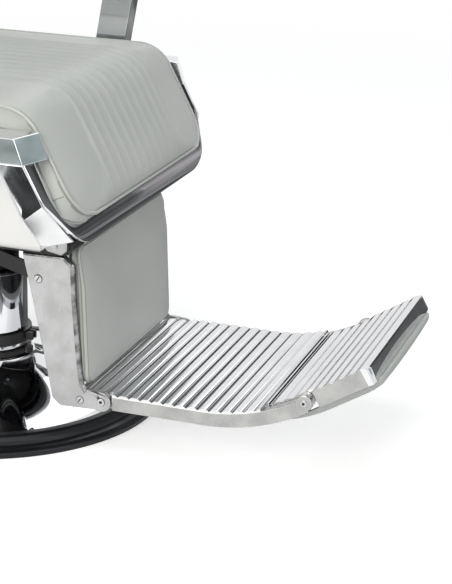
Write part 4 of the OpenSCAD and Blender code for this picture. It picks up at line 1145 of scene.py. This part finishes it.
bandForm = {"front": 285, "thick": 5, "bend": 396, "blend": 14, "lean": 0.5, "bulge": 0.3, "ease": 1.4, "split": 243,
            "outer": [(339.6, 518.7, 0), (336.8, 459.4, 24), (270.6, 380, 100), (0, 380, 0)],
            "inner": [(303, 518.7, 0), (303, 411, 36), (0, 411, 0)], "count": 110, "frontCount": 30, "rows": 8}


def evenly(path, count):
    lengths = [0]
    for p, q in zip(path, path[1:]):
        lengths.append(lengths[-1] + (q - p).length)
    made, k = [], 0
    for i in range(count + 1):
        target = lengths[-1] * i / count
        while k < len(path) - 2 and lengths[k + 1] < target:
            k += 1
        made.append(path[k].lerp(path[k + 1], (target - lengths[k]) / max(1e-9, lengths[k + 1] - lengths[k])))
    return made


def bandForward(z):  # upright below the bend, leaning back above it
    over, blend = z - bandForm["bend"], bandForm["blend"]
    if over < -blend:
        return bandForm["front"]
    if over > blend:
        return bandForm["front"] - bandForm["lean"] * over
    return bandForm["front"] - bandForm["lean"] * (over + blend) ** 2 / (4 * blend)


def makeBand():
    form = bandForm
    count, front = form["count"], form["frontCount"]
    outlines = []
    for path in (roundedPath(form["outer"], 2), roundedPath(form["inner"], 2)):
        # the sides and the front are spread alike on both outlines
        split = min(range(len(path)), key=lambda i: abs(path[i].x - form["split"]) + abs(path[i].y - path[-1].y))
        outlines.append(evenly(path[:split + 1], count - front) + evenly(path[split:], front)[1:])
    bm = bmesh.new()
    bmesh.ops.create_grid(bm, x_segments=form["rows"], y_segments=2 * count, size=1)
    for v in bm.verts:
        k = round((v.co.y + 1) / 2 * 2 * count)
        side, i, t = -1 if k < count else 1, min(k, 2 * count - k), (v.co.x + 1) / 2
        p = outlines[0][i].lerp(outlines[1][i], t)
        lift = form["bulge"] * 4 * t * (1 - t)
        v.co = at(side * p.x, bandForward(p.y) - form["thick"] + lift, p.y)
    bmesh.ops.recalc_face_normals(bm, faces=bm.faces)
    if sum(f.normal.y * f.calc_area() for f in bm.faces) > 0:
        bmesh.ops.reverse_faces(bm, faces=bm.faces)
    bmesh.ops.solidify(bm, geom=bm.faces[:], thickness=-form["thick"] * 0.001)
    bmesh.ops.recalc_face_normals(bm, faces=bm.faces)
    bevelSharp(bm, form["ease"], 3, 50)
    settle(bm, "seatBandChrome", "seat", "chrome", 50, "seat_band")


makeBand()


# Base

baseForm = {"radius": 300, "ringIn": 250, "ringHeight": 27, "ringFoot": 270.3, "plate": 10, "neck": 72, "coverTop": 82,
            "sheet": 2, "plunger": 106, "plungerHole": 14, "spread": 1.7, "fall": 1.65}


def makeBase():
    form = baseForm
    r, inner, plate, high, sheet = (form[k] for k in ("radius", "ringIn", "plate", "ringHeight", "sheet"))
    rim = roundedPath([(form["ringFoot"], 0, 0), (r - 1, 0, 1), (r, 9, 3), (r - 9, 12.5, 3), (r - 24, 13.2, 1.5),
                       (r - 26, 19, 3), (inner + 16, high + 0.2, 12), (inner, high, 2), (inner, plate, 0),
                       (form["ringFoot"], plate, 0)], 12)
    spunPiece("baseRingRubber", rim, "rubber", "base_ring")
    steps = [i / 40 for i in range(41)]
    outside = [(lerp(form["neck"], inner, k ** form["spread"]) - 0.3,
                lerp(form["coverTop"], high - 2, 1 - (1 - k) ** form["fall"])) for k in steps]
    profile = [(64, 76), (64, 81), (65, form["coverTop"])] + outside + [(249.6, plate), (247.6, plate)]
    profile += [(x - sheet, z - sheet) for x, z in reversed(outside[1:])] + [(69.6, 76)]
    cover = spunPiece("baseCoverChrome", profile, "chrome", "base_cover")
    hole, radius = bmesh.new(), form["plungerHole"] * 0.001
    bmesh.ops.create_cone(hole, cap_ends=True, segments=48, radius1=radius, radius2=radius, depth=0.2,
                          matrix=Matrix.Translation((0, form["plunger"] * 0.001, 0.1)))
    cutter = put("plungerHole", meshOf(hole, "plungerHole"))
    cut = cover.modifiers.new("hole", "BOOLEAN")
    cut.object, cut.operation, cut.solver = cutter, "DIFFERENCE", "EXACT"
    bake(cover)
    bpy.data.objects.remove(cutter)


makeBase()
print("band and base done")


# The rest of the metal and boards keep their solids, with eased edges

eased = {  # how far the edges of each are eased
    "chrome": {"right_rail": 1.6, "left_rail": 1.6, "right_arm_frame": 2.5, "left_arm_frame": 2.5,
               "column_sleeve": 0.5, "column_cap": 0.6, "ram": 0, "headrest_post": 0.8, "recline_lever": 0.6,
               "column_collar": 0, "lever_pin": 0.5, "pump_plunger": 0.4},
    "white": {"right_side_panel": 0.6, "left_side_panel": 0.6, "back_shell": 1.2},
    "black": {"lever_bracket": 0.8, "swivel_lock": 0.8, "pump_lever": 1.0, "seat_mount": 0.8,
              "right_frame_plate": 0.6, "left_frame_plate": 0.6, "recline_links": 0.8, "frame_floor": 0.8,
              "frame_beams": 0.8, "front_cross_bar": 1.2, "rear_cross_bar": 1.2, "right_back_arm": 0.8,
              "left_back_arm": 0.8, "headrest_socket": 0.6, "headrest_plate": 0.6},
    "zinc": {"side_screws": 0.3, "hinge_pins": 0.5, "mount_bolts": 0.5, "link_rear_pins": 0.5, "headrest_pin": 0.5},
    "rubber": {"lock_grip": 1.5, "pump_pedal_pad": 1.5},
    "knob": {"lever_knob": 3.0},
    "iron": {"base_plate": 0, "pump_body": 0},
    "ply": {"seat_board": 0.8, "back_board": 0.8},
}
for finish, members in eased.items():
    for member, width in members.items():
        copy = mergedCopy(member)
        if width:
            bevelSharp(copy, width, 2, 32)
        settle(copy, pieceName(member), nodes[member]["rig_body"], finish, 32, member)
print("eased solids:", sum(len(m) for m in eased.values()))

bracketForm = {"outer": 195, "rim": 6.6, "ease": 0.8, "front": 205, "top": 330, "heel": (286, 100),
               "eye": (245, 368, 16)}


def makeBracket(side, name):  # its broad rounded rim runs along the top, down the front and out over the heel
    form = bracketForm
    eyeF, eyeZ, eyeReach = form["eye"]

    def onRim(v):
        x, f, z = v.co.x * 1000, -v.co.y * 1000, v.co.z * 1000
        along = z > form["top"] or (f > form["front"] and z > form["heel"][1])
        return (abs(side * x - form["outer"]) < 0.05 and along and f <= form["heel"][0]
                and math.hypot(f - eyeF, z - eyeZ) >= eyeReach)

    bm = mergedCopy(name)
    rim = [e for e in bm.edges if len(e.link_faces) == 2 and e.calc_face_angle(0) >= math.radians(60)
           and all(onRim(v) for v in e.verts)]
    # the rim's bevel faces carry the edge mark, so the satin finish paints them dark: a painted dark reflection along
    # the top and front
    bevel(bm, rim, form["rim"], 6)
    bevelSharp(bm, form["ease"], 2, 50)
    settle(bm, pieceName(name), "footrest", "satin", 32, name)


for side, hand in hands:
    makeBracket(side, hand + "_bracket")

plateForm = {"crease": (345, 222, 434), "slant": 0.807, "ease": 0.8, "lug": 251, "reach": 0.0032,
             "moved": [((-327.5, 248.3, 456), (-10.5, 4.9, 3.4)), ((-277.5, 224, 376), (-23.3, 10.8, 8.1))]}


def makeSidePlate(side, name):  # mirror bright above the crease, brushed below it, satin at its inner lug
    form = plateForm
    slant, inward = Vector((0, form["slant"], 1)).normalized(), Vector((-side, 0, 0))
    crease, lug = at(side * form["crease"][0], *form["crease"][1:]), at(side * form["lug"], 0, 0)
    for part, finish in (("", "chrome"), ("Foot", "foot"), ("Lug", "satin")):
        bm = mergedCopy(name)
        for v in bm.verts:  # the two leaves are brought flat
            for (x, f, z), step in form["moved"]:
                if (v.co - at(-side * x, f, z)).length < form["reach"]:
                    v.co += at(-side * step[0], step[1], step[2])
        bevelSharp(bm, form["ease"], 2, 32)
        cuts = [(crease, slant, part == "", part != "")]
        if part:
            cuts.append((lug, inward, part == "Lug", part == "Foot"))
        for point, normal, clearInner, clearOuter in cuts:
            cut = slicePlane(bm, point, normal, clear_inner=clearInner, clear_outer=clearOuter)
            rim = [e for e in cut["geom_cut"] if isinstance(e, bmesh.types.BMEdge)]
            bmesh.ops.contextual_create(bm, geom=rim)
        settle(bm, pieceName(name) + part, "seat", finish, 32, None if part else name)


for side, hand in hands:
    makeSidePlate(side, hand + "_side_plate")
